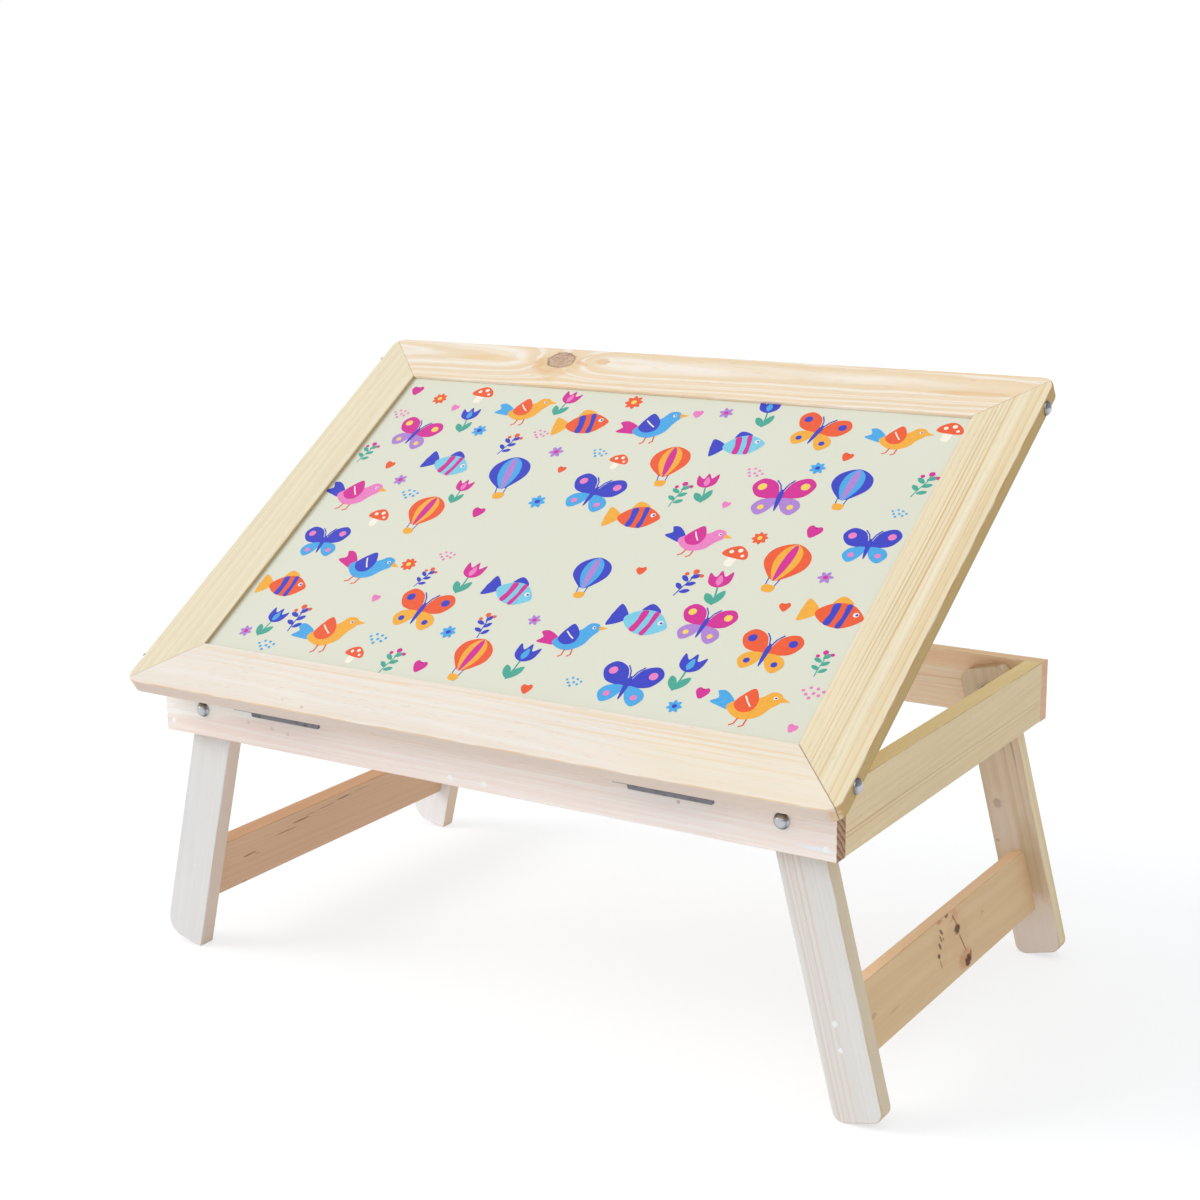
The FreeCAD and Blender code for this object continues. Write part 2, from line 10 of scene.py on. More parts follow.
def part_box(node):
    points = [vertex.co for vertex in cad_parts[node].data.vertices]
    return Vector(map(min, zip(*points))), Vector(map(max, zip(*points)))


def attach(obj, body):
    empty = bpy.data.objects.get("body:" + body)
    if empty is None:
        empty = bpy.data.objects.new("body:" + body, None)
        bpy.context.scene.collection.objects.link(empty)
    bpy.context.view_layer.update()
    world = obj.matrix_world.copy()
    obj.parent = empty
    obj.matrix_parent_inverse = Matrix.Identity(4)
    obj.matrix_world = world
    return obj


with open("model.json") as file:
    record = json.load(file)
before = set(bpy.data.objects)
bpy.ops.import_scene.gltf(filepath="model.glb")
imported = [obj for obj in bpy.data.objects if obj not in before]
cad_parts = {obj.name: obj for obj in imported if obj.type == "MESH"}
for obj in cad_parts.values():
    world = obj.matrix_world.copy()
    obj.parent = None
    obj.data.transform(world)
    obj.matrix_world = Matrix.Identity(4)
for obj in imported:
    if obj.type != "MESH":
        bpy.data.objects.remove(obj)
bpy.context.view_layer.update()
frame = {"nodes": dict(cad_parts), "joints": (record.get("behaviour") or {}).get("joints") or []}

scene = bpy.context.scene
scene.view_settings.view_transform = 'Standard'

# The viewpoint: above the table's front, well to its right, looking down on the tilted top.
# The view is a little rolled, as a camera held by hand is.
view_azimuth = math.radians(32.795)
view_elevation = math.radians(13.516)
view_roll = math.radians(-0.807)
view_spot = Vector((0.81435, -1.26153, 0.64496))
view_lens, film_width = 61.376, 36
view_shift = (0.0008, 0.0005)


def put(name, data):
    """Puts a new object into the scene, at the origin."""
    thing = bpy.data.objects.new(name, data)
    scene.collection.objects.link(thing)
    return thing


away = Vector((
    math.sin(view_azimuth) * math.cos(view_elevation),
    -math.cos(view_azimuth) * math.cos(view_elevation),
    math.sin(view_elevation),
))
level = Vector((math.cos(view_azimuth), math.sin(view_azimuth), 0))
upright = away.cross(level)
view_right = level * math.cos(view_roll) + upright * math.sin(view_roll)
view_up = upright * math.cos(view_roll) - level * math.sin(view_roll)
camera = put("view", bpy.data.cameras.new("view"))
camera.data.lens = view_lens
camera.data.sensor_width = film_width
camera.data.shift_x, camera.data.shift_y = view_shift
camera.matrix_world = Matrix.LocRotScale(
    view_spot, Matrix((view_right, view_up, away)).transposed(), None
)
scene.camera = camera


# The room: a wide white floor under soft light from all round, with a broad window low on the
# table's left. The camera sees the room as plain white, and shiny things see it dim away from
# the window.
def dye(red, green, blue):
    """A colour given by the values it has on a screen, from 0 to 255."""
    shares = [value / 255 for value in (red, green, blue)]
    shares = [s / 12.92 if s <= 0.04045 else ((s + 0.055) / 1.055) ** 2.4 for s in shares]
    return (*shares, 1.0)


class Finish:
    """One socket of a finish. Sums written with it add the Math nodes that they need."""

    def __init__(self, tree, socket=None):
        self.tree = tree
        self.socket = socket

    def node(self, kind, settings, sockets, result=0):
        """Adds a node, sets it up, fills its sockets with values or links, and gives one result."""
        node = self.tree.nodes.new("ShaderNode" + kind)
        for name, value in settings.items():
            setattr(node, name, value)
        for name, value in sockets.items():
            if isinstance(value, Finish):
                self.tree.links.new(value.socket, node.inputs[name])
            else:
                node.inputs[name].default_value = value
        return Finish(self.tree, node.outputs[result]) if node.outputs else None

    def math(self, operation, *others):
        """A Math node on this number and any others."""
        return self.node("Math", {"operation": operation}, dict(enumerate((self, *others))))

    def __abs__(self):
        return self.math("ABSOLUTE")

    def __add__(self, other):
        return self.math("ADD", other)

    def __sub__(self, other):
        return self.math("SUBTRACT", other)

    def __rsub__(self, other):
        return self.node("Math", {"operation": "SUBTRACT"}, {0: other, 1: self})

    def __mul__(self, other):
        return self.math("MULTIPLY", other)

    def __truediv__(self, other):
        return self.math("DIVIDE", other)

    def __pow__(self, other):
        return self.math("POWER", other)

    __radd__ = __add__
    __rmul__ = __mul__

    def between(self, low, high):
        """Rises smoothly from 0 at low to 1 at high, or falls where low is the larger."""
        sockets = {"Value": self, "From Min": low, "From Max": high}
        return self.node("MapRange", {"interpolation_type": "SMOOTHSTEP"}, sockets)

    def mix(self, first, second, blend="MIX"):
        """The first colour where this is 0, and the second, or both multiplied, where it is 1."""
        settings = {"data_type": "RGBA", "blend_type": blend}
        return self.node("Mix", settings, {0: self, 6: first, 7: second}, 2)

    def times(self, amount):
        """This colour or vector made larger or smaller."""
        return self.node("VectorMath", {"operation": "SCALE"}, {0: self, "Scale": amount})

    def place(self):
        """Where a point of the piece lies, in metres."""
        return self.node("TexCoord", {}, {}, "Object")

    def stretched(self, *scale):
        """This place with its three ways scaled. The last scale stands for any left out."""
        scale = (scale + scale[-1:] * 2)[:3]
        return self.node("Mapping", {}, {"Vector": self, "Scale": scale})

    def cloud(self, detail, *scale):
        """Soft noise from 0 to 1 at this place, scaled."""
        place = self.stretched(*scale)
        return self.node("TexNoise", {}, {"Vector": place, "Scale": 1.0, "Detail": detail})

    def ways(self):
        """The three numbers of this vector."""
        node = self.node("SeparateXYZ", {}, {0: self}).socket.node
        return [Finish(self.tree, output) for output in node.outputs]


def blank_finish(name):
    """A new material with nothing in it, as a finish without a socket."""
    material = bpy.data.materials.new(name)
    material.use_nodes = True
    material.node_tree.nodes.clear()
    return material, Finish(material.node_tree)


def rays(paint, first, *others):
    """1 on rays of the kinds named, and 0 on all others."""
    found = paint.node("LightPath", {}, {}, f"Is {first} Ray")
    for kind in others:
        found = found.math("MAXIMUM", paint.node("LightPath", {}, {}, f"Is {kind} Ray"))
    return found


floor_size = 30.0
floor_white = (0.97, 0.97, 0.97, 1.0)
floor_glow = (0.955, 0.975, 1.0, 1.0)
glow_strength = 1.22
glow_share = 0.55
floor_mesh = bpy.data.meshes.new("floor")
four_corners = ((-1, -1), (1, -1), (1, 1), (-1, 1))
floor_ends = [(x * floor_size, y * floor_size, 0) for x, y in four_corners]
floor_mesh.from_pydata(floor_ends, [], [(0, 1, 2, 3)])
floor = put("floor", floor_mesh)
floor_paint, paint = blank_finish("floor_white")
matt = paint.node("BsdfDiffuse", {}, {"Color": floor_white})
glow = paint.node("Emission", {}, {"Color": floor_glow, "Strength": glow_strength})
seen = rays(paint, "Camera", "Glossy", "Transmission") * glow_share
shade = paint.node("MixShader", {}, {0: seen, 1: matt, 2: glow})
paint.node("OutputMaterial", {}, {"Surface": shade})
floor_mesh.materials.append(floor_paint)

room_light = 0.68
room_mirrored = 0.4
lamp_strength = 1.5
lamp_softness = math.radians(32)
lamp_way = Vector((-0.80, -0.42, 0.50)).normalized()
world = bpy.data.worlds.new("room")
scene.world = world
world.use_nodes = True
world.node_tree.nodes.clear()
paint = Finish(world.node_tree)
way = paint.node("TexCoord", {}, {}, "Generated")
to_lamp = paint.node("VectorMath", {"operation": "DOT_PRODUCT"}, {0: way, 1: lamp_way}, "Value")
mirrored = to_lamp.between(-0.3, 0.8) * (1 - room_mirrored) + room_mirrored
strength = rays(paint, "Glossy", "Transmission") * (mirrored - room_light) + room_light
strength = rays(paint, "Camera") * (1 - strength) + strength
room = paint.node("Background", {}, {"Color": (1, 1, 1, 1), "Strength": strength})
paint.node("OutputWorld", {}, {"Surface": room})

lamp = put("lamp", bpy.data.lights.new("lamp", "SUN"))
lamp.data.energy = lamp_strength
lamp.data.angle = lamp_softness
lamp.rotation_euler = lamp_way.to_track_quat("Z", "Y").to_euler()


# The box: two long front and back rails over the ends of two side rails, all planed pine,
# nailed at the corners. Each rail is its own stick, so each has its own grain.
def dress(node, material):
    """Gives a piece of the frame its finish."""
    piece = frame["nodes"][node]
    piece.data.materials.clear()
    piece.data.materials.append(material)
    for face in piece.data.polygons:
        face.material_index = 0


def middle(node):
    """The middle of a node's box."""
    low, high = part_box(node)
    return (low + high) / 2


def toned(tone, share):
    """A tone made darker or lighter, to a share of itself."""
    return dye(*[min(255, int(value * share)) for value in tone])


def finish_off(paint, strength, depth, height, look):
    """Ends a finish with its fine relief and what its shader takes."""
    relief = {"Strength": strength, "Distance": depth, "Height": height}
    look["Normal"] = paint.node("Bump", {}, relief)
    shade = paint.node("BsdfPrincipled", {}, look)
    paint.node("OutputMaterial", {}, {"Surface": shade})


def pine(
    node, grain, across, seed, pith, spacing, strength, pale, pale_too, line, taper=0.0, wander=2.0,
    late=(0.45, 0.9), bands=(), sway=12.0, pores=0.25, knots=(), marks=None, blots=(),
    marked_side=1, edges=((255, 255, 255), (255, 255, 255)), rear=(255, 255, 255),
    end=(214, 178, 140), mitre=None, arris=(206, 160, 108), worn=0.5, fibre=0.09,
):
    """Pine on one board, its rings drawn round the log's pith, so every face shows its own cut.

    Places are in millimetres from the board's middle, x along the grain and y across it. A band
    has its middle, half width, amount and stained colour. A knot or blot has its place, half length
    and half width first, then a knot its push on the rings and its tone, and a blot its lean in
    degrees, amount and colour, mostly a stain and on a few boards painted light. Edges are the
    tones of the low and the high narrow face, each the face's own tone with painted light and
    shade for how that face is lit.
    """
    material, paint = blank_finish("pine_" + node)
    grain, across = Vector(grain).normalized(), Vector(across).normalized()
    turn = Matrix((grain, across, grain.cross(across))).transposed().to_euler()
    onto_board = {"vector_type": "TEXTURE"}
    position = paint.node("Mapping", onto_board, {
        "Vector": paint.place(), "Location": middle(node), "Rotation": turn, "Scale": (0.001,) * 3,
    })
    facing = paint.node("TexCoord", {}, {}, "Normal")
    facing = paint.node("Mapping", onto_board, {"Vector": facing, "Rotation": turn})
    x, y, z = position.ways()
    facing_x, facing_y, facing_z = facing.ways()
    own_cut = (seed * 610.0, seed * 97.0, 0)
    spot = paint.node("VectorMath", {"operation": "ADD"}, {0: position, 1: own_cut})

    # Rings, pushed aside by slow wander, by the log's taper and by the knots
    pith_y, pith_z = pith
    rings = ((y - pith_y) ** 2 + (z - pith_z) ** 2) ** 0.5
    slow = spot.cloud(1.0, 0.004, 0.022)
    quick = spot.cloud(1.0, 0.02, 0.11)
    rings += x * taper
    rings += (slow - 0.5) * wander * spacing
    rings += (quick - 0.5) * 0.5 * spacing
    rough = spot.cloud(2.0, 0.09, 0.16)
    hearts = []
    for knot_x, knot_y, long, wide, push, dark in knots:
        along, over = (x - knot_x) / long, (y - knot_y) / wide
        swell = ((along / 2.4) ** 2 + (over / 2.0) ** 2) * -1
        rings += swell.math("EXPONENT") * push * spacing
        hearts.append(((along ** 2 + over ** 2) ** 0.5 + (rough - 0.5) * 0.9, over, dark))
    phase = rings / spacing
    count = phase.math("FLOOR")
    within = phase - count
    chance = paint.node("TexWhiteNoise", {"noise_dimensions": "1D"}, {"W": count + seed})
    late_from, late_to = late
    dark_wood = within.between(late_from, late_to) * within.between(1.0, (1 + late_to) / 2)
    dark_wood *= chance * 0.75 + 0.25
    years = {"W": phase * 0.3 + seed * 7.0, "Detail": 1.0}
    years = paint.node("TexNoise", {"noise_dimensions": "1D"}, years)
    fibres = spot.cloud(3.0, 0.02, 1.4)
    cloudy = spot.cloud(2.0, 0.008, 0.04)

    colour = years.between(0.35, 0.65).mix(dye(*pale), dye(*pale_too))
    colour = (dark_wood * strength).mix(colour, dye(*line))
    for band_y, half, amount, overlay_colour in bands:
        band = abs((y + (slow - 0.5) * sway - band_y) / half).between(1.0, 0.3)
        band *= slow.between(0.35, 0.6) * 0.6 + 0.6
        colour = (band * amount).mix(colour, dye(*overlay_colour))
    pits = spot.cloud(1.0, 0.1, 1.6).between(0.66, 0.76)
    colour = (pits * pores).mix(colour, dye(176, 132, 88))
    height = fibres * 0.5 + dark_wood * 0.35 - pits * 0.4

    # Knots: a dark rim round a brown heart with its own rings and checks, and a resin halo
    for reach, over, dark in hearts:
        halo = (reach + (rough - 0.5) * 2.0 + over * 0.35).between(2.1, 0.8) * 0.6
        colour = halo.mix(colour, dye(232, 192, 136))
        own_rings = (reach * 9.0 + rough * 4.0).math("SINE") * 0.5 + 0.5
        inner = own_rings.mix(dye(*dark), toned(dark, 1.1))
        colour = reach.between(1.06, 0.94).mix(colour, inner)
        rim = reach.between(0.84, 1.0) * reach.between(1.12, 1.0)
        rim *= rough.between(0.3, 0.6) * 0.5 + 0.35
        colour = rim.mix(colour, toned(dark, 0.62))
        checks = paint.node(
            "TexVoronoi",
            {"feature": "DISTANCE_TO_EDGE"},
            {"Vector": position.stretched(0.22, 0.34), "Scale": 1.0},
        )
        checks = checks.between(0.09, 0.03) * reach.between(0.95, 0.6)
        colour = (checks * 0.3).mix(colour, toned(dark, 0.6))
        height -= (checks + rim * 0.6) * 1.2
    if marks:
        colour = marks(position, spot, colour)

    # Stains, resin spots, small knots and cracks on the board's face, each an uneven oval.
    # A few are painted light: glare streaks on the front rail and lit patches on a back leg.
    fleck = spot.cloud(2.0, 0.24, 0.4) if blots else None
    for blot_x, blot_y, long, wide, lean, amount, overlay_colour in blots:
        lean = math.radians(lean)
        along = ((x - blot_x) * math.cos(lean) + (y - blot_y) * math.sin(lean)) / long
        over = ((y - blot_y) * math.cos(lean) - (x - blot_x) * math.sin(lean)) / wide
        unevenness = 1.8 * min(1.0, 8.0 / long)
        blot = (along ** 2 + over ** 2 + (fleck - 0.5) * unevenness).between(1.15, 0.35) * amount
        blot *= (facing_z * marked_side).between(0.3, 0.7)
        colour = blot.mix(colour, dye(*overlay_colour))

    # The narrow faces take tones with painted light and shade for how each is lit; the back, the
    # sawn ends, the mitres and the arrises take their own tones
    along_grain, over_grain, through = abs(facing_x), abs(facing_y), abs(facing_z)
    low_edge_tone_and_light, high_edge_tone_and_light = edges
    tone = facing_y.between(0.3, 0.6).mix(dye(*low_edge_tone_and_light), dye(*high_edge_tone_and_light))
    colour = over_grain.between(0.75, 0.95).mix(colour, tone, "MULTIPLY")
    colour = facing_z.between(-0.75, -0.95).mix(colour, dye(*rear), "MULTIPLY")
    colour = along_grain.between(0.8, 0.96).mix(colour, dye(*end), "MULTIPLY")
    if mitre:
        half_length, outer_edge, open_end = mitre
        seam = (half_length - abs(x) - abs(y - outer_edge)).between(1.1, 0.25)
        seam *= spot.cloud(1.0, 0.05) * 0.6 + 0.15
        seam *= (x * open_end).between(0.0, 10.0) * 0.65 + 0.35
        colour = seam.mix(colour, dye(150, 100, 74))
    flattest = along_grain.math("MAXIMUM", over_grain).math("MAXIMUM", through)
    handled = spot.cloud(2.0, 0.03, 0.2).between(0.3, 0.6)
    colour = (flattest.between(0.985, 0.9) * handled * worn).mix(colour, dye(*arris))
    colour = colour.times((fibres - 0.5) * fibre + (cloudy - 0.5) * 0.09 + 1.0)
    finish_off(paint, 0.35, 0.00035, height, {
        "Base Color": colour, "Roughness": (fibres - 0.5) * 0.16 + 0.58 - dark_wood * 0.1,
        "Specular IOR Level": 0.3,
    })
    dress(node, material)


def front_rail_marks(position, spot, colour):
    """The pinkish strip along the rail's foot, and slanting dark rings on its sawn ends."""
    x, y, z = position.ways()
    wavy = spot.cloud(2.0, 0.006, 0.05)
    strip = (y + (wavy - 0.5) * 8.0 - x * 0.1).between(19.0, 14.0)
    streaks = spot.cloud(2.0, 0.008, 0.34)
    amount = streaks.between(0.3, 0.62) * 0.4 + x.between(0.0, -200.0) * 0.3 + 0.2
    colour = (strip * amount).mix(colour, dye(245, 224, 214))
    colour = (streaks.between(0.6, 0.72) * 0.35).mix(colour, dye(255, 253, 250))
    rings = (y - z) / 6.0 + (spot.cloud(2.0, 0.1) - 0.5) * 1.6
    rings = (rings - rings.math("FLOOR")).between(0.25, 0.95)
    ends = abs(x).between(285.2, 285.45)
    return (rings * ends * 0.85).mix(colour, dye(166, 116, 84))


right = (1, 0, 0)
back = (0, 1, 0)
up = (0, 0, 1)
pine(
    "front_rail", right, up, seed=3.1, pith=(46, -20), spacing=4.6, taper=0.012, strength=0.3,
    wander=1.4, pale=(254, 253, 250), pale_too=(253, 249, 245), line=(240, 223, 211), fibre=0.07,
    rear=(240, 228, 210), edges=((214, 190, 160), (255, 246, 226)), end=(188, 160, 130),
    marks=front_rail_marks, arris=(222, 182, 148), worn=0.6,
    blots=(
        # Painted highlights: the first two are bluish-white streaks of glare, by the left hinge and
        # low right.
        (-208, 2.5, 14, 1.3, -1, 0.9, (246, 248, 252)),
        (272, -16.5, 17, 1.6, -1, 0.9, (240, 246, 254)),
        (171, -3, 1.5, 1.3, 0, 0.6, (200, 146, 126)),
        (-202, -6, 1.8, 1.4, 0, 0.4, (192, 186, 170)),
        (-178.6, -7, 2, 1.6, 0, 0.4, (192, 186, 170)),
        (-163.6, -9, 1.5, 1.8, 0, 0.4, (192, 186, 170)),
    ),
)
pine(
    "back_rail", right, up, seed=5.7, pith=(-50, 18), spacing=4.5, taper=0.02, strength=0.22,
    pale=(255, 236, 214), pale_too=(255, 227, 200), line=(238, 200, 164), rear=(238, 228, 216),
    bands=(
        (18, 9, 0.5, (250, 204, 162)), (2, 0.7, 0.4, (226, 182, 146)),
        (-4, 0.6, 0.3, (226, 182, 146)),
    ),
    edges=((222, 200, 170), (255, 248, 224)), end=(230, 208, 192), worn=0.5,
)
pine(
    "right_rail", back, up, seed=7.3, pith=(-52, -26), spacing=6.0, taper=-0.03, strength=0.14,
    wander=1.4, sway=5.0, pale=(234, 216, 178), pale_too=(231, 210, 168), line=(202, 170, 116),
    late=(0.62, 0.92),
    bands=(
        (-6.5, 0.8, 0.55, (202, 160, 118)), (-9.6, 0.6, 0.45, (202, 160, 118)),
        (-14, 4, 0.2, (232, 200, 150)), (6, 0.7, 0.2, (210, 176, 120)),
        (-1.5, 0.6, 0.2, (210, 176, 120)), (17, 5, 0.2, (240, 224, 182)),
    ),
    edges=((214, 196, 160), (278, 274, 248)), end=(206, 168, 140), worn=0.7, arris=(206, 172, 116),
    fibre=0.07,
)
pine(
    "left_rail", (0, -1, 0), up, seed=9.9, pith=(40, -30), spacing=5.0, taper=0.02, strength=0.5,
    pale=(236, 220, 188), pale_too=(234, 212, 176), line=(206, 168, 116),
    edges=((214, 196, 160), (255, 240, 200)), end=(206, 168, 140),
)


# The centre slat carries the foot of the prop strut, a sawn board with a rounded nose that
# holds the top up. Both are plainer pine than what shows from the front.
pine(
    "centre_slat", back, right, seed=11.4, pith=(-30, -24), spacing=5.0, strength=0.55,
    pale=(232, 208, 174), pale_too=(228, 200, 164), line=(202, 158, 108),
    edges=((244, 226, 200),) * 2, end=(206, 168, 140),
)
strut_angle = math.radians(76)
pine(
    "prop_strut", (0, math.cos(strut_angle), math.sin(strut_angle)), right, seed=12.8,
    pith=(6, -34), spacing=4.2, strength=0.55, taper=0.03, pale=(236, 214, 180),
    pale_too=(232, 206, 170), line=(206, 164, 114), edges=((244, 230, 204),) * 2,
    end=(214, 178, 146),
)

# Leg frames: two splayed legs with a board between them. The legs are pale planed stock with
# rounded heads and feet; the boards between them are knottier, darker offcuts.
splay = math.radians(14)
way_out = {"left": -1, "right": 1}


def leg_pine(side, place, **wood):
    """Pine on one leg, with its grain running down to the foot."""
    aside, upright = way_out[side] * math.sin(splay), math.cos(splay)
    end = (214, 186, 156)
    pine(f"{side}_{place}_leg", (aside, 0, -upright), (upright, 0, aside), end=end, **wood)


leg_pine(
    "left", "front", seed=15.2, pith=(70, -16), spacing=6.5, strength=0.07, taper=0.01,
    pale=(229, 228, 227), pale_too=(226, 225, 223), line=(218, 206, 194), fibre=0.035,
    edges=((244, 228, 210), (254, 236, 225)), rear=(238, 222, 196),
    arris=(216, 192, 160), worn=0.5, pores=0.1,
)
leg_pine(
    "right", "front", seed=17.7, pith=(-90, 10), spacing=7.0, strength=0.12, wander=1.0, sway=3.0,
    pale=(225, 225, 223), pale_too=(223, 221, 217), line=(222, 190, 168), late=(0.5, 0.85),
    bands=(
        (-13.4, 1, 0.42, (220, 190, 168)), (-10.4, 1.1, 0.42, (224, 194, 174)),
        (-6.2, 1, 0.5, (220, 188, 164)), (-2, 1.2, 0.42, (222, 192, 170)),
        (-8.2, 1.4, 0.25, (226, 204, 186)), (3.5, 0.8, 0.15, (222, 200, 180)),
    ),
    edges=((244, 228, 206), (255, 240, 214)), rear=(238, 222, 196),
    arris=(214, 178, 136), worn=0.7, pores=0.12, fibre=0.06,
)
leg_pine(
    "left", "back", seed=19.6, pith=(40, -20), spacing=6.5, strength=0.12, taper=0.02, fibre=0.05,
    pale=(249, 249, 253), pale_too=(248, 247, 249), line=(236, 222, 212),
    edges=((244, 228, 210), (240, 218, 192)), rear=(240, 226, 204),
)
leg_pine(
    "right", "back", seed=21.3, pith=(50, -20), spacing=6.0, strength=0.14, taper=0.02, wander=1.2,
    sway=3.0, pale=(231, 212, 190), pale_too=(223, 202, 176), line=(202, 164, 130), fibre=0.07,
    bands=(
        (12, 1, 0.35, (190, 158, 136)), (8, 0.8, 0.2, (200, 166, 142)),
        (4.6, 0.7, 0.2, (200, 166, 142)),
    ),
    blots=(
        (-7.4, -9.2, 4.2, 4, 0, 0.8, (158, 128, 108)),
        (22, -14.6, 1.8, 1.1, 70, 0.8, (150, 124, 110)),
        (-52, 12, 18, 1.1, 2, 0.5, (176, 146, 124)),
        (-56, 5, 15, 0.9, 3, 0.45, (184, 152, 130)),
        (-60, -3, 10, 0.8, 4, 0.35, (190, 156, 132)),
        # Painted light: the next two pale ovals lighten the leg's middle and foot where it is lit.
        (12, -8, 34, 11, 0, 0.4, (242, 226, 214)),
        (94, -2, 30, 40, 0, 0.8, (248, 236, 228)),
        (36, 10, 34, 9, 0, 0.45, (204, 180, 142)),
    ),
    edges=((244, 228, 206), (266, 270, 252)), rear=(246, 232, 212), worn=0.7,
    arris=(206, 174, 132),
)


def stretcher_pine(side, **wood):
    """Pine on the board between two legs, its grain running from front to back."""
    sign = way_out[side]
    over = (-sign * math.sin(splay), 0, math.cos(splay))
    pine(f"{side}_stretcher", (0, sign, 0), over, taper=0.02, end=(206, 168, 140), **wood)


stretcher_pine(
    "left", seed=23.9, pith=(60, -30), spacing=6.0, strength=0.13,
    pale=(225, 189, 160), pale_too=(221, 183, 152), line=(202, 157, 121), fibre=0.04,
    edges=((226, 204, 178), (264, 249, 233)), marked_side=-1,
    blots=(
        (110, 2.4, 9, 1, -2, 0.75, (146, 100, 68)),
        (100, 0, 5, 0.7, 2, 0.5, (156, 110, 78)),
        (68, 9.4, 15, 0.8, 1, 0.6, (150, 104, 72)),
        (50, 14, 12, 1, 0, 0.7, (148, 100, 68)),
        (38, 16, 9, 0.6, 2, 0.5, (156, 110, 78)),
        (17, 16.6, 12, 0.7, -1, 0.55, (154, 108, 76)),
        (-4, 18.2, 10, 1, 0, 0.7, (142, 96, 66)),
        (-30, 19, 13, 0.6, 1, 0.45, (158, 112, 80)),
        (112, -22, 4, 1, 4, 0.5, (160, 116, 86)),
    ),
)
stretcher_pine(
    "right", seed=25.1, pith=(-60, 26), spacing=9.0, strength=0.07, wander=2.2,
    pale=(234, 204, 161), pale_too=(231, 198, 154), line=(208, 164, 116), fibre=0.03,
    blots=(
        (16, 4, 20, 22, 0, 0.22, (220, 172, 124)),
        (-14, 5, 12, 16, 0, 0.22, (220, 176, 130)),
        (17, 19, 6, 5, 0, 0.5, (222, 160, 130)),
        (20, -15, 12, 7, 10, 0.5, (204, 140, 94)),
        (16.5, 8.5, 5.6, 3.8, 15, 0.95, (100, 66, 46)),
        (15.5, 16, 6.5, 0.8, -62, 0.85, (130, 82, 54)),
        (10, 17, 4, 0.5, 10, 0.5, (160, 112, 78)),
        (21, -3, 9, 0.9, -68, 0.8, (134, 84, 54)),
        (24, -17.5, 6.4, 4.2, 10, 0.95, (92, 48, 32)),
        (30, -14, 3, 1.4, 40, 0.7, (150, 96, 66)),
        (-8.7, 15.2, 3.6, 1.7, -50, 0.85, (128, 84, 56)),
        (-11.2, 10.8, 3.2, 1.2, -72, 0.75, (136, 90, 60)),
        (-7.4, 9.6, 1.8, 1.2, 0, 0.6, (140, 96, 66)),
        (-14.8, 6.6, 3, 1.6, -60, 0.85, (122, 80, 54)),
        (-19.5, 0.6, 2.6, 2, 0, 0.9, (104, 68, 48)),
        (-18.5, -6, 4.5, 1, -80, 0.6, (152, 106, 72)),
        (5, 22.6, 3.4, 1.5, 0, 0.8, (132, 70, 48)),
        (-8, 22.2, 4.4, 1.6, 0, 0.6, (200, 124, 94)),
        (-127, -1.3, 4, 2, 0, 0.4, (180, 134, 90)),
        (-98, -8, 10, 1.2, 4, 0.25, (196, 150, 104)),
        (62, 6, 3, 1.4, 0, 0.3, (190, 142, 96)),
    ),
    edges=((226, 204, 178), (282, 277, 284)), pores=0.1,
)


# Nails hold the rails, the slat and the leg frames together. Their sunk heads are stopped with
# white filler, rubbed down to a small uneven patch a little wider than the head.
def metal(name, tone, roughness, grime, painted_end_shade=0.0, painted_rim_shade=0.0):
    """Metal, uneven from plating and handling, with painted shade in barrel ends and head rims."""
    material, paint = blank_finish(name)
    position = paint.place()
    patches = position.cloud(3.0, 160)
    scratches = position.cloud(2.0, 900, 900, 120)
    dull = patches.between(0.45, 0.75)
    colour = (dull * grime).mix(dye(*tone), toned(tone, 0.62))
    endways, sideways = [abs(way) for way in paint.node("TexCoord", {}, {}, "Normal").ways()[:2]]
    # Painted shade: faces along x darken, for the shadowed hollow in a rolled barrel's end.
    if painted_end_shade:
        colour = (endways.between(0.8, 0.95) * painted_end_shade).mix(colour, dye(42, 38, 38))
    # Painted shade: a domed head darkens towards its rim, where it turns away, to look round.
    if painted_rim_shade:
        rim = endways.math("MAXIMUM", sideways).between(0.92, 0.5) * painted_rim_shade
        colour = rim.mix(colour, dye(46, 46, 50))
    finish_off(paint, 0.15, 0.0001, scratches + patches, {
        "Base Color": colour, "Metallic": 1.0,
        "Roughness": dull * 0.14 + (scratches - 0.5) * 0.1 + roughness,
    })
    return material


nail_metal = metal("nail_steel", (150, 146, 140), 0.4, 0.6)
for group in ("rail_nails", "slat_nails", "left_stretcher_nails", "right_stretcher_nails"):
    dress(group, nail_metal)


def filler(name, darker, lighter):
    """Wood filler rubbed down flush, patchy where it has sunk."""
    material, paint = blank_finish(name)
    patches = paint.place().cloud(3.0, 500)
    colour = patches.mix(dye(*darker), dye(*lighter))
    finish_off(paint, 0.3, 0.0002, patches, {"Base Color": colour, "Roughness": 0.7})
    return material


def geometry_tree(name, inputs):
    """A Geometry Nodes tree with a geometry in and out and the named inputs."""
    tree = bpy.data.node_groups.new(name, "GeometryNodeTree")
    tree.interface.new_socket("Geometry", in_out="INPUT", socket_type="NodeSocketGeometry")
    tree.interface.new_socket("Geometry", in_out="OUTPUT", socket_type="NodeSocketGeometry")
    for label, kind in inputs:
        tree.interface.new_socket(label, in_out="INPUT", socket_type="NodeSocket" + kind)
    return tree, tree.nodes.new("NodeGroupInput").outputs


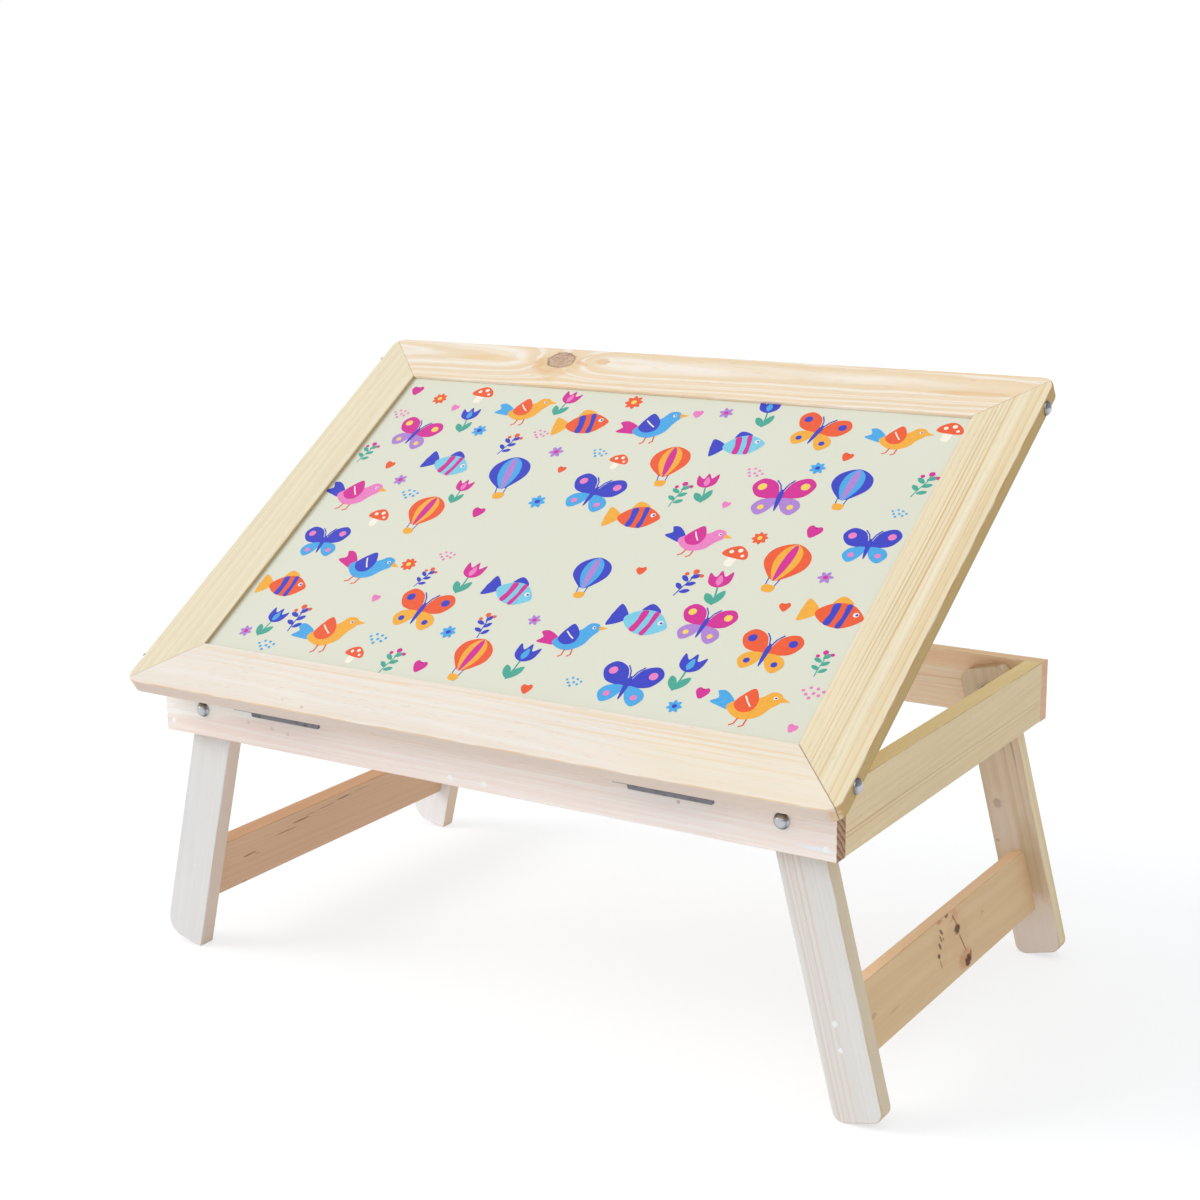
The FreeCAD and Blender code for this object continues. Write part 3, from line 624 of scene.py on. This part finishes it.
def add(tree, kind, settings, sockets, result=0):
    """Adds a node, sets it up, fills its sockets with values or links, and gives one result."""
    node = tree.nodes.new(kind)
    for name, value in settings.items():
        setattr(node, name, value)
    for name, value in sockets.items():
        if isinstance(value, bpy.types.NodeSocket):
            tree.links.new(value, node.inputs[name])
        else:
            node.inputs[name].default_value = value
    return node.outputs[result] if node.outputs else None


def attribute(tree, name, kind):
    """What each point carries under a name."""
    kind = {"data_type": kind}
    return add(tree, "GeometryNodeInputNamedAttribute", kind, {"Name": name}, "Attribute")


def copies(tree, points, model, turn, scale, finish):
    """Ends a tree with a copy of the model on every point, made real and given its finish."""
    made = add(tree, "GeometryNodeInstanceOnPoints", {}, {
        "Points": points, "Instance": model, "Rotation": turn, "Scale": scale,
    })
    made = add(tree, "GeometryNodeRealizeInstances", {}, {"Geometry": made})
    made = add(tree, "GeometryNodeSetMaterial", {}, {"Geometry": made, "Material": finish})
    add(tree, "NodeGroupOutput", {}, {"Geometry": made})
    return tree


def dab_tree():
    """Dabs of filler: a flat round lump on every point, turned to the point's own direction."""
    inputs = (("Radius", "Float"), ("Rise", "Float"), ("Filler", "Material"))
    tree, given = geometry_tree("filler_dabs", inputs)
    ball = add(tree, "GeometryNodeMeshUVSphere", {}, {"Segments": 20, "Rings": 8, "Radius": 1.0})
    bend = add(tree, "ShaderNodeTexNoise", {}, {"Scale": 1.6, "Detail": 1.0}, "Color")
    bend = add(tree, "ShaderNodeVectorMath", {"operation": "SUBTRACT"}, {0: bend, 1: (0.5,) * 3})
    bend = add(tree, "ShaderNodeVectorMath", {"operation": "SCALE"}, {0: bend, "Scale": 0.55})
    ball = add(tree, "GeometryNodeSetPosition", {}, {"Geometry": ball, "Offset": bend})
    wide, rise = given["Radius"], given["Rise"]
    size = add(tree, "ShaderNodeCombineXYZ", {}, {0: wide, 1: wide, 2: rise})
    uneven = {2: 0.95, 3: 1.1, "Seed": 4}
    uneven = add(tree, "FunctionNodeRandomValue", {"data_type": "FLOAT"}, uneven, 1)
    size = add(tree, "ShaderNodeVectorMath", {"operation": "SCALE"}, {0: size, "Scale": uneven})
    turn = {"Vector": attribute(tree, "out", "FLOAT_VECTOR")}
    turn = add(tree, "FunctionNodeAlignRotationToVector", {"axis": "Z"}, turn)
    return copies(tree, given["Geometry"], ball, turn, size, given["Filler"])


def grown(name, points, tree, values, attributes):
    """Runs a Geometry Nodes tree on a cloud of points and gives the result as a plain piece."""
    mesh = bpy.data.meshes.new(name)
    mesh.from_pydata(points, [], [])
    for label, kind, numbers in attributes:
        layer = mesh.attributes.new(label, kind, "POINT")
        layer.data.foreach_set("vector" if kind == "FLOAT_VECTOR" else "value", numbers)
    seedling = put(name + "_points", mesh)
    modifier = seedling.modifiers.new("grow", "NODES")
    modifier.node_group = tree
    for item in tree.interface.items_tree:
        if item.in_out == "INPUT" and item.name in values:
            modifier[item.identifier] = values[item.name]
    evaluated = seedling.evaluated_get(bpy.context.evaluated_depsgraph_get())
    grown_mesh = bpy.data.meshes.new_from_object(evaluated)
    grown_mesh.name = name
    bpy.data.objects.remove(seedling)
    return put(name, grown_mesh)


filler_radius = 0.0021
filler_rise = 0.00022
head_depth = 0.0006
head_width = 0.006


def nail_heads(group, face, sign):
    """Where a group's nails enter the wood on a face: the middles of their heads, and its side."""
    spots = []
    near = [v.co for v in frame["nodes"][group].data.vertices if abs(v.co.y - face) < head_depth]
    while near:
        first = near[0]
        head = [co for co in near if (co - first).length < head_width]
        near = [co for co in near if (co - first).length >= head_width]
        centre = sum(head, Vector()) / len(head)
        spots.append((Vector((centre.x, face, centre.z)), sign))
    return spots


dab = dab_tree()
for body, front, rear, groups, name, darker, lighter in (
    (
        "base", "front_rail", "back_rail", ("rail_nails", "slat_nails"), "box_nail_filler",
        (246, 250, 255), (255, 255, 255),
    ),
    (
        "left_leg_frame", "left_front_leg", "left_back_leg", ("left_stretcher_nails",),
        "left_leg_filler", (226, 225, 223), (234, 233, 232),
    ),
    (
        "right_leg_frame", "right_front_leg", "right_back_leg", ("right_stretcher_nails",),
        "right_leg_filler", (234, 236, 238), (242, 243, 246),
    ),
):
    heads = []
    for group in groups:
        heads += nail_heads(group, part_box(front)[0].y, -1)
        heads += nail_heads(group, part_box(rear)[1].y, 1)
    outward = [number for spot, sign in heads for number in (0, sign, 0)]
    piece = grown(
        name,
        [spot for spot, sign in heads],
        dab,
        {"Radius": filler_radius, "Rise": filler_rise, "Filler": filler(name, darker, lighter)},
        [("out", "FLOAT_VECTOR", outward)],
    )
    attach(piece, body)

# Pivot bolts: zinc-plated bolts with domed heads, one through each rail and leg, with a spacer
# washer between rail and leg, and a washer and nut inside.
washer_metal = metal("washer_zinc", (158, 160, 165), 0.26, 0.4)
for group in ("spacer_washers", "nut_washers", "pivot_nuts"):
    dress(group, washer_metal)
# The domed heads take painted shade round their rims.
head_metal = metal("bolt_zinc", (192, 194, 199), 0.2, 0.3, painted_rim_shade=0.85)
dress("pivot_bolts", head_metal)

# Tilt hinges and the prop's small hinge: dull pressed steel leaves rolled round their pins,
# held by countersunk screws. Only the tilt hinges' lower leaves and barrels show in front.
# The hinges' ends take painted shade for the shadowed hollow round each pin.
hinge_metal = metal("hinge_steel", (124, 122, 126), 0.34, 0.6, painted_end_shade=0.9)
for group in ("lower_leaf", "upper_leaf", "pin"):
    for side in ("left", "right"):
        dress(f"{side}_hinge_{group}", hinge_metal)
for group in ("slat_leaf", "strut_leaf", "pin"):
    dress("prop_hinge_" + group, hinge_metal)
for group in ("lower_leaf_screws", "upper_leaf_screws", "slat_leaf_screws", "strut_leaf_screws"):
    dress(group, hinge_metal)

# The top frame: four planed boards mitred and glued at the corners, grooved for the panel, with
# their corners rounded and their arrises eased. Each board comes from another stick.
tilt = math.radians(-next(j for j in frame["joints"] if j["name"] == "top_tilt")["range_deg"][0])
half_long, half_short, half_wide = 300.0, 207.25, 23.75
up_slope = Vector((0, math.cos(tilt), math.sin(tilt)))
out_of_top = Vector((0, -math.sin(tilt), math.cos(tilt)))


def top_pine(side, grain, across, **wood):
    """Pine on one board of the top, a little darker underneath."""
    pine(f"top_{side}_board", grain, across, rear=(246, 232, 210), **wood)


top_pine(
    "front", right, up_slope, seed=31.8, pith=(-46, -34), spacing=5.6, strength=0.24,
    taper=0.02, wander=2.2, sway=12.0, pale=(242, 235, 226), pale_too=(240, 231, 219),
    line=(240, 210, 172), late=(0.3, 0.8),
    bands=(
        (17, 1.3, 0.45, (234, 202, 160)), (20, 2.6, 0.3, (238, 212, 176)),
        (-20, 2.5, 0.25, (236, 214, 190)),
    ),
    edges=((238, 229, 227), (246, 236, 214)), mitre=(half_long, -half_wide, 1),
    arris=(226, 190, 148), worn=0.8,
    blots=(
        (250, -4, 130, 34, 0, 0.45, (243, 229, 200)),
        (180, 14, 120, 1.2, 0, 0.5, (236, 204, 158)),
        (205, 9.5, 100, 1, 0, 0.45, (238, 208, 164)),
        (150, 4.5, 110, 0.9, 0, 0.4, (238, 208, 164)),
        (225, -1, 80, 0.8, 0, 0.35, (236, 206, 160)),
        (100, 19, 140, 1.6, 0, 0.45, (240, 214, 176)),
        (-127, -19.4, 1.7, 1.4, 0, 0.6, (190, 170, 130)),
        (-148, -15, 1.2, 1, 0, 0.4, (200, 180, 144)),
        (-60, 17, 16, 1.6, 2, 0.35, (238, 206, 164)),
    ),
)
top_pine(
    "back", right, up_slope, seed=33.5, pith=(9, -13), spacing=4.8, strength=0.6,
    taper=0.013, wander=1.1, sway=6.0, pale=(248, 239, 225), pale_too=(240, 220, 190),
    line=(235, 200, 150), late=(0.4, 0.85), edges=((255, 250, 250), (246, 230, 206)),
    mitre=(half_long, half_wide, 0),
    knots=((-119.8, 8.5, 12.0, 9.4, 2.4, (196, 165, 142)),), arris=(230, 194, 146), worn=0.6,
    blots=(
        (-190, 6, 34, 4.4, 0, 0.6, (240, 206, 156)),
        (-138, 2, 7, 8, 20, 0.7, (230, 190, 138)),
        (-124, -4.5, 10, 4, 8, 0.55, (230, 192, 142)),
        (-99, 14, 9, 1.5, 40, 0.6, (228, 190, 142)),
        (-99, 6, 9, 2.4, -20, 0.6, (230, 190, 146)),
        (-80, 9.5, 8, 4.4, 0, 0.75, (230, 188, 134)),
        (20, 13, 90, 4, -4, 0.3, (238, 210, 166)),
        (244, 0, 36, 3.4, 0, 0.6, (232, 194, 142)),
        (200, 22, 90, 1.6, 0, 0.5, (232, 194, 146)),
    ),
)
top_pine(
    "left", up_slope, (-1, 0, 0), seed=35.4, pith=(-60, -70), spacing=5.0, strength=0.35,
    wander=1.2, pale=(238, 228, 202), pale_too=(236, 223, 192), line=(218, 198, 150),
    edges=((222, 202, 166), (206, 190, 150)), mitre=(half_short, half_wide, 0),
    arris=(210, 190, 140), worn=0.5,
)
top_pine(
    "right", up_slope, (-1, 0, 0), seed=37.2, pith=(66, -58), spacing=4.4, strength=0.3,
    wander=0.8, sway=4.0, pale=(240, 228, 198), pale_too=(237, 222, 188), line=(216, 182, 124),
    late=(0.5, 0.9),
    bands=(
        (15.3, 0.6, 0.3, (214, 178, 118)), (11.2, 0.7, 0.5, (212, 174, 112)),
        (8.5, 0.9, 0.6, (206, 166, 104)), (5.3, 0.7, 0.5, (212, 174, 112)),
        (2.2, 0.7, 0.5, (212, 174, 112)), (-0.8, 1, 0.62, (206, 166, 104)),
        (-6.5, 2.4, 0.5, (244, 236, 212)), (-15.5, 7, 0.4, (230, 206, 160)),
        (-13, 0.8, 0.35, (214, 178, 122)), (-18, 0.8, 0.35, (214, 178, 122)),
    ),
    edges=((213, 194, 150), (214, 190, 146)), mitre=(half_short, -half_wide, -1),
    arris=(206, 158, 108), worn=0.9,
)

# Corner screws: zinc-plated screws with domed heads, driven through the side edges of the top,
# two on each side.
# They share the bolts' finish, with its painted shade round the rims.
dress("corner_screws", head_metal)


# The glue of the mitres: a hair-thin line in each joint, dried just under both faces of the
# boards, pale where the joint is tight and brown where the front right one has opened a little.
def plate(built, outline, low, high):
    """Adds a flat shape between two heights, and gives its faces. The outline is in millimetres."""
    area = sum(a.cross(b) for a, b in zip(outline, outline[1:] + outline[:1]))
    if area < 0:
        outline = outline[::-1]
    low_ring, high_ring = (
        [built.verts.new((p.x / 1000, p.y / 1000, level)) for p in outline] for level in (low, high)
    )
    faces = [built.faces.new(low_ring[::-1]), built.faces.new(high_ring)]
    for here in range(len(outline)):
        after = (here + 1) % len(outline)
        side = (low_ring[here], low_ring[after], high_ring[after], high_ring[here])
        faces.append(built.faces.new(side))
    return faces


def piece_of(name, built, finish=None):
    """Turns what is built into a piece, all of it in one finish."""
    mesh = bpy.data.meshes.new(name)
    built.to_mesh(mesh)
    built.free()
    mesh.materials.clear()
    if finish:
        mesh.materials.append(finish)
    return put(name, mesh)


panel_middle = middle("top_panel")
board_rise = (middle("top_front_board") - panel_middle).dot(out_of_top)
half_board = 0.006
glue_sunk = 0.00012
glue_deep = 0.0018
half_glue = 0.11
glue_from, glue_to = 4.2, 46.6
built = bmesh.new()
for side_x, side_y in four_corners:
    aside = Vector((-side_y, side_x)) * half_glue / math.sqrt(2)
    outer, inner = (
        Vector((side_x * (half_long - inset), side_y * (half_short - inset)))
        for inset in (glue_from, glue_to)
    )
    outline = [outer + aside, inner + aside, inner - aside, outer - aside]
    face = board_rise + half_board
    plate(built, outline, face - glue_deep, face - glue_sunk)
    face = board_rise - half_board
    plate(built, outline, face + glue_sunk, face + glue_deep)
lay_on_top = Matrix((Vector(right), up_slope, out_of_top)).transposed().to_4x4()
lay_on_top.translation = panel_middle
built.transform(lay_on_top)
glue_paint, paint = blank_finish("mitre_glue")
position = paint.place()
x, y = position.ways()[:2]
patches = position.cloud(2.0, 70)
colour = patches.between(0.35, 0.65).mix(dye(196, 160, 122), dye(232, 208, 172))
front_right = x.between(0.2, 0.25) * y.between(-0.1, -0.15)
colour = (front_right * 0.75).mix(colour, dye(128, 84, 60))
finish_off(paint, 0.3, 0.0001, patches, {"Base Color": colour, "Roughness": 0.45})
glue = piece_of("mitre_glue", built, glue_paint)
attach(glue, "top")


# The panel: a thin sheet with a cream ground, let into the groove of the top's boards. It has
# the fine grit and the low gloss of a printed board.
def board_gloss(paint, grit, colour, roughness):
    """Ends the finish of the panel or of its ink, both with the panel's own grit."""
    finish_off(paint, 0.1, 0.0001, grit, {
        "Base Color": colour, "Roughness": (grit - 0.5) * 0.1 + roughness,
        "Specular IOR Level": 0.35,
    })


panel_paint, paint = blank_finish("panel_ground")
position = paint.place()
grit = position.cloud(2.0, 1400)
colour = position.cloud(2.0, 9).mix(dye(223, 225, 208), dye(227, 228, 212))
board_gloss(paint, grit, colour.times((grit - 0.5) * 0.05 + 1.0), 0.5)
dress("top_panel", panel_paint)


# The print: small cheerful pictures for a child, strewn over the panel, with a bare place left in
# its middle. Each is thin flat layers of ink, a little glossier than the ground.
royal = (52, 62, 196)
sky = (72, 170, 232)
aqua = (124, 206, 232)
magenta = (214, 38, 150)
pink = (238, 130, 196)
lilac = (178, 132, 214)
orange = (240, 92, 48)
amber = (246, 176, 58)
lemon = (246, 214, 96)
cream = (250, 244, 228)
leaf = (70, 170, 150)


def round_line(points, steps=7):
    """A smooth closed line through a few points."""
    line = []
    count = len(points)
    for index in range(count):
        a, b, c, d = (Vector(points[(index + shift) % count]) for shift in (-1, 0, 1, 2))
        for step in range(steps):
            t = step / steps
            line.append(0.5 * (
                (2 * b) + (c - a) * t + (2 * a - 5 * b + 4 * c - d) * t ** 2
                + (3 * b - a - 3 * c + d) * t ** 3
            ))
    return line


def disc(x, y, radius, corners=22):
    """A round spot."""
    angles = [2 * math.pi * corner / corners for corner in range(corners)]
    rim = [Vector((radius * math.cos(angle), radius * math.sin(angle))) for angle in angles]
    return [point + Vector((x, y)) for point in rim]


def petal(x, y, length, width, turn):
    """A leaf or petal growing from a point in a direction."""
    points = round_line([
        (0, 0), (length * 0.3, width * 0.42), (length * 0.7, width * 0.46), (length, 0.02 * width),
        (length * 0.7, -width * 0.46), (length * 0.3, -width * 0.42),
    ], 4)
    for point in points:
        point.rotate(Matrix.Rotation(math.radians(turn), 2))
    return [point + Vector((x, y)) for point in points]


def stroke(points, width):
    """A drawn line of even width through a few points."""
    points = [Vector(point) for point in points]
    one_side, other_side = [], []
    for index, point in enumerate(points):
        before = points[max(index - 1, 0)]
        after = points[min(index + 1, len(points) - 1)]
        way = (after - before).normalized()
        side = Vector((-way.y, way.x)) * width / 2
        one_side.append(point + side)
        other_side.append(point - side)
    return one_side + other_side[::-1]


def butterfly(upper, lower, spot):
    """A butterfly with its wings spread."""
    upper_wing = ((1, 2), (6, 17), (18, 22), (25, 14), (19, 3), (6, 0))
    lower_wing = ((1, 0), (14, -1), (19, -9), (13, -17), (5, -12))
    shapes = []
    for sign in (-1, 1):
        shapes += [
            (upper, [(sign * x, y) for x, y in upper_wing]),
            (lower, [(sign * x, y) for x, y in lower_wing]),
            (spot, disc(sign * 17, 13, 3.6)),
            (spot, disc(sign * 11.5, -9, 2.6)),
            (royal, stroke([(sign * 0.6, 8), (sign * 3, 15), (sign * 7, 20)], 1.0)),
        ]
    body = [(0, -13), (1.7, -4), (1.9, 6), (0, 10), (-1.9, 6), (-1.7, -4)]
    return shapes + [(royal, body)]


def bird(body, wing, tail):
    """A plump bird seen from the side, its beak with straight edges."""
    return [
        (tail, [(-12, 2), (-22, 10), (-29, 9), (-26, 3), (-31, -2), (-22, -5), (-13, -6)]),
        (body, [
            (-16, -2), (-6, 7), (6, 10), (13, 17), (21, 16), (23, 9), (18, 2), (12, -8), (0, -13),
            (-11, -9),
        ]),
        (amber, [Vector(point) for point in ((22, 14), (30, 11), (22.4, 8.5))]),
        (wing, [(-12, 1), (-7, 12), (-1, 17), (6, 6), (4, -4), (-5, -6)]),
        (cream, stroke([(-6, 9), (-2, 4), (2, 0)], 1.2)),
        (cream, disc(17.5, 12, 1.6)),
        (royal, disc(17.8, 12, 0.9)),
        (orange, stroke([(-2, -12), (-3, -18), (-6, -20)], 1.1)),
        (orange, stroke([(5, -12), (5, -18), (2, -20)], 1.1)),
    ]


def fish(body, fin, band):
    """A round striped fish."""
    return [
        (fin, [(-12, 0), (-24, 11), (-26, 2), (-26, -3), (-24, -11)]),
        (fin, [(-6, 8), (-2, 18), (8, 14), (8, 8)]),
        (body, [(-15, 0), (-6, 10), (8, 12), (20, 4), (21, -2), (9, -11), (-6, -9)]),
        (band, [(-5, 9.4), (0, 10.6), (1, 0), (0, -9.8), (-5, -8.8), (-4, 0)]),
        (band, [(5, 11), (9, 11), (9.5, 0), (9, -10.4), (5, -10), (6, 0)]),
        (cream, disc(15, 3.4, 2.2)),
        (royal, disc(15.6, 3.4, 1.1)),
    ]


def balloon(one, two, three):
    """A striped balloon with a basket under it."""
    return [
        (one, [(-5, -8), (-17, 6), (-15, 20), (0, 28), (15, 20), (17, 6), (5, -8), (0, -9)]),
        (two, [(-2.5, -8.6), (-9, 6), (-8, 20), (0, 27.4), (8, 20), (9, 6), (2.5, -8.6)]),
        (three, [(-1, -8.6), (-3.4, 6), (-3, 20), (0, 27), (3, 20), (3.4, 6), (1, -8.6)]),
        (royal, stroke([(-4.4, -8), (-3.6, -15)], 0.8)),
        (royal, stroke([(4.4, -8), (3.6, -15)], 0.8)),
        (amber, [(-4.4, -15), (4.4, -15), (3.6, -21), (-3.6, -21)]),
    ]


def tulip(flower, heart):
    """A tulip with two leaves."""
    return [
        (leaf, stroke([(0, 2), (0.6, -8), (0, -20)], 1.6)),
        (leaf, petal(0, -19, 17, 7, 62)),
        (leaf, petal(0, -19, 15, 7, 122)),
        (flower, [(0, 0), (-9, 5), (-10, 17), (-4, 12), (0, 19), (4, 12), (10, 17), (9, 5)]),
        (heart, [(0, 2), (-3, 7), (0, 14), (3, 7)]),
    ]


def daisy(flower, heart, count=8, size=9):
    """A flower of narrow petals round a button."""
    shapes = [(flower, petal(0, 0, size, size * 0.52, 360 / count * step)) for step in range(count)]
    return shapes + [(heart, disc(0, 0, size * 0.3))]


def sprig(stem, buds):
    """A leafy twig with a few round buds."""
    shapes = [(stem, stroke([(-1, -14), (0, -4), (2, 5), (1, 13)], 1.1))]
    for height, turn in ((-9, 30), (-6, 148), (-1, 34), (3, 150), (7, 42)):
        shapes.append((stem, petal(0.6, height, 9, 4.4, turn)))
    for x, y, size in ((1, 14.5, 2.6), (-5, 10, 1.8), (8, 12, 1.8)):
        shapes.append((buds, disc(x, y, size)))
    return shapes


def heart(colour, size=6.5):
    """A plain small heart."""
    half = ((0.42, 0.92), (0.9, 0.75), (0.95, 0.0))
    points = [(0, -1.1), *((-x, y) for x, y in half[::-1]), (0, 0.5), *half]
    return [(colour, round_line([(x * size, y * size) for x, y in points], 5))]


def drops(colour):
    """A handful of small dots."""
    spots = ((-7, 2), (-2, 4.6), (3.4, 3.6), (8, 1), (-4.4, -1.6), (1, -0.6), (5, -2.6), (-1.4, -5))
    return [(colour, disc(x, y, 1.35)) for x, y in spots]


def mushroom(cap):
    """A spotted mushroom."""
    return [
        (cream, [(-3, 2), (3, 2), (3.6, -8), (0, -10), (-3.6, -8)]),
        (cap, [(-11, 1), (-9, 8), (0, 13), (9, 8), (11, 1), (0, -0.6)]),
        (cream, disc(-4.6, 5.4, 1.9)),
        (cream, disc(2, 8.4, 2.1)),
        (cream, disc(6.6, 3.6, 1.5)),
    ]


large_pictures = {
    "butterfly_blue": butterfly(royal, sky, pink),
    "bird_amber": bird(amber, orange, sky),
    "fish_orange": fish(orange, amber, royal),
    "balloon_cool": balloon(royal, sky, lilac),
    "bird_sky": bird(sky, royal, magenta),
    "butterfly_pink": butterfly(magenta, lilac, lemon),
    "balloon_warm": balloon(orange, amber, magenta),
    "fish_blue": fish(aqua, royal, magenta),
    "butterfly_orange": butterfly(orange, amber, royal),
    "bird_pink": bird(pink, magenta, royal),
}
small_pictures = {
    "heart_magenta": heart(magenta),
    "daisy_orange": daisy(orange, lemon),
    "sprig_leaf": sprig(leaf, magenta),
    "drops_pink": drops(pink),
    "tulip_magenta": tulip(magenta, pink),
    "heart_orange": heart(orange, 5),
    "daisy_lilac": daisy(lilac, magenta, 6, 7),
    "mushroom_orange": mushroom(orange),
    "heart_pink": heart(pink, 4.5),
    "sprig_royal": sprig(royal, orange),
    "daisy_sky": daisy(sky, royal, 7, 8),
    "tulip_royal": tulip(royal, sky),
    "drops_sky": drops(sky),
}

print_width, print_depth = 505.0, 319.0
bare_middle, bare_reach = Vector((-40, -10)), Vector((62, 26))
most_turn = 0.22
same_apart, like_apart, rarity = 300.0, 150.0, 25.0
least_room = 1.0
tries = 60
luck = random.Random(12)
placed = []
sites = {}


def least_seen(kinds, x, y):
    """The kind of picture whose likes stand furthest from a spot."""
    def room(kind):
        gaps = {True: [same_apart], False: [like_apart]}
        for other, places in sites.items():
            if other.split("_")[0] == kind.split("_")[0]:
                gaps[other == kind] += [math.dist(place[:2], (x, y)) for place in places]
        return min(gaps[True]) + min(gaps[False] + gaps[True]) - rarity * len(gaps[True])
    return max(kinds, key=room)


def scatter(kinds, count, reach, low_size, high_size):
    """Adds pictures one by one, each where it stands freest of those already there."""
    wide, deep = print_width / 2 - reach, print_depth / 2 - reach
    for number in range(count):
        best, best_room = None, -math.inf
        for attempt in range(tries):
            x, y = luck.uniform(-wide, wide), luck.uniform(-deep, deep)
            aside = Vector((
                (x - bare_middle.x) / (bare_reach.x + reach),
                (y - bare_middle.y) / (bare_reach.y + reach),
            ))
            if aside.length < 1:
                continue
            gaps = [(Vector((x, y)) - spot).length - held - reach for spot, held in placed]
            room = min(gaps or [0])
            if room > best_room:
                best, best_room = (x, y), room
        if best is None or placed and best_room < least_room:
            continue
        placed.append((Vector(best), reach))
        kind = least_seen(kinds, *best)
        size = luck.uniform(low_size, high_size)
        sites.setdefault(kind, []).append((*best, size, luck.uniform(-most_turn, most_turn)))


scatter(large_pictures, 40, 23.0, 0.84, 1.0)
scatter(small_pictures, 70, 9.0, 0.7, 0.95)

ink_paint, paint = blank_finish("panel_ink")
position = paint.place()
grit = position.cloud(2.0, 1400)
brushed = position.cloud(3.0, 420)
colour = paint.node("Attribute", {"attribute_name": "ink"}, {}, "Color")
board_gloss(paint, grit, colour.times((brushed - 0.5) * 0.3 + 1.0), 0.42)
ink_thickness = 0.00003
ink_step = 0.00002


def picture_piece(name, shapes):
    """One picture as thin flat layers of ink, its colours in a face attribute.

    An outline of plain points is rounded, and one of vectors stays as it is.
    """
    built = bmesh.new()
    inks = built.faces.layers.float_color.new("ink")
    for order, (colour, outline) in enumerate(shapes):
        if isinstance(outline[0], tuple):
            outline = round_line(outline)
        for face in plate(built, outline, 0, ink_thickness + ink_step * order):
            face[inks] = dye(*colour)
    bmesh.ops.triangulate(built, faces=[face for face in built.faces if len(face.verts) > 4])
    return piece_of(name, built)


def print_tree():
    """One kind of picture on every point, each at its own size and turn."""
    inputs = (("Picture", "Object"), ("Ink", "Material"))
    tree, given = geometry_tree("panel_pictures", inputs)
    picture = {"Object": given["Picture"]}
    picture = add(tree, "GeometryNodeObjectInfo", {}, picture, "Geometry")
    turn = add(tree, "ShaderNodeCombineXYZ", {}, {2: attribute(tree, "turn", "FLOAT")})
    size = attribute(tree, "size", "FLOAT")
    scale = add(tree, "ShaderNodeCombineXYZ", {}, {0: size, 1: size, 2: 1.0})
    return copies(tree, given["Geometry"], picture, turn, scale, given["Ink"])


prints = print_tree()
joined = bmesh.new()
for kind, places in sites.items():
    stamp = picture_piece(kind, {**large_pictures, **small_pictures}[kind])
    layer = grown(
        "printed_" + kind,
        [(x / 1000, y / 1000, 0) for x, y, size, turn in places],
        prints,
        {"Picture": stamp, "Ink": ink_paint},
        [("size", "FLOAT", [p[2] for p in places]), ("turn", "FLOAT", [p[3] for p in places])],
    )
    joined.from_mesh(layer.data)
    bpy.data.objects.remove(stamp)
    bpy.data.objects.remove(layer)
panel_thickness = 0.0035
lay_on_top.translation = panel_middle + out_of_top * (panel_thickness / 2)
joined.transform(lay_on_top)
panel_print = piece_of("panel_print", joined, ink_paint)
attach(panel_print, "top")
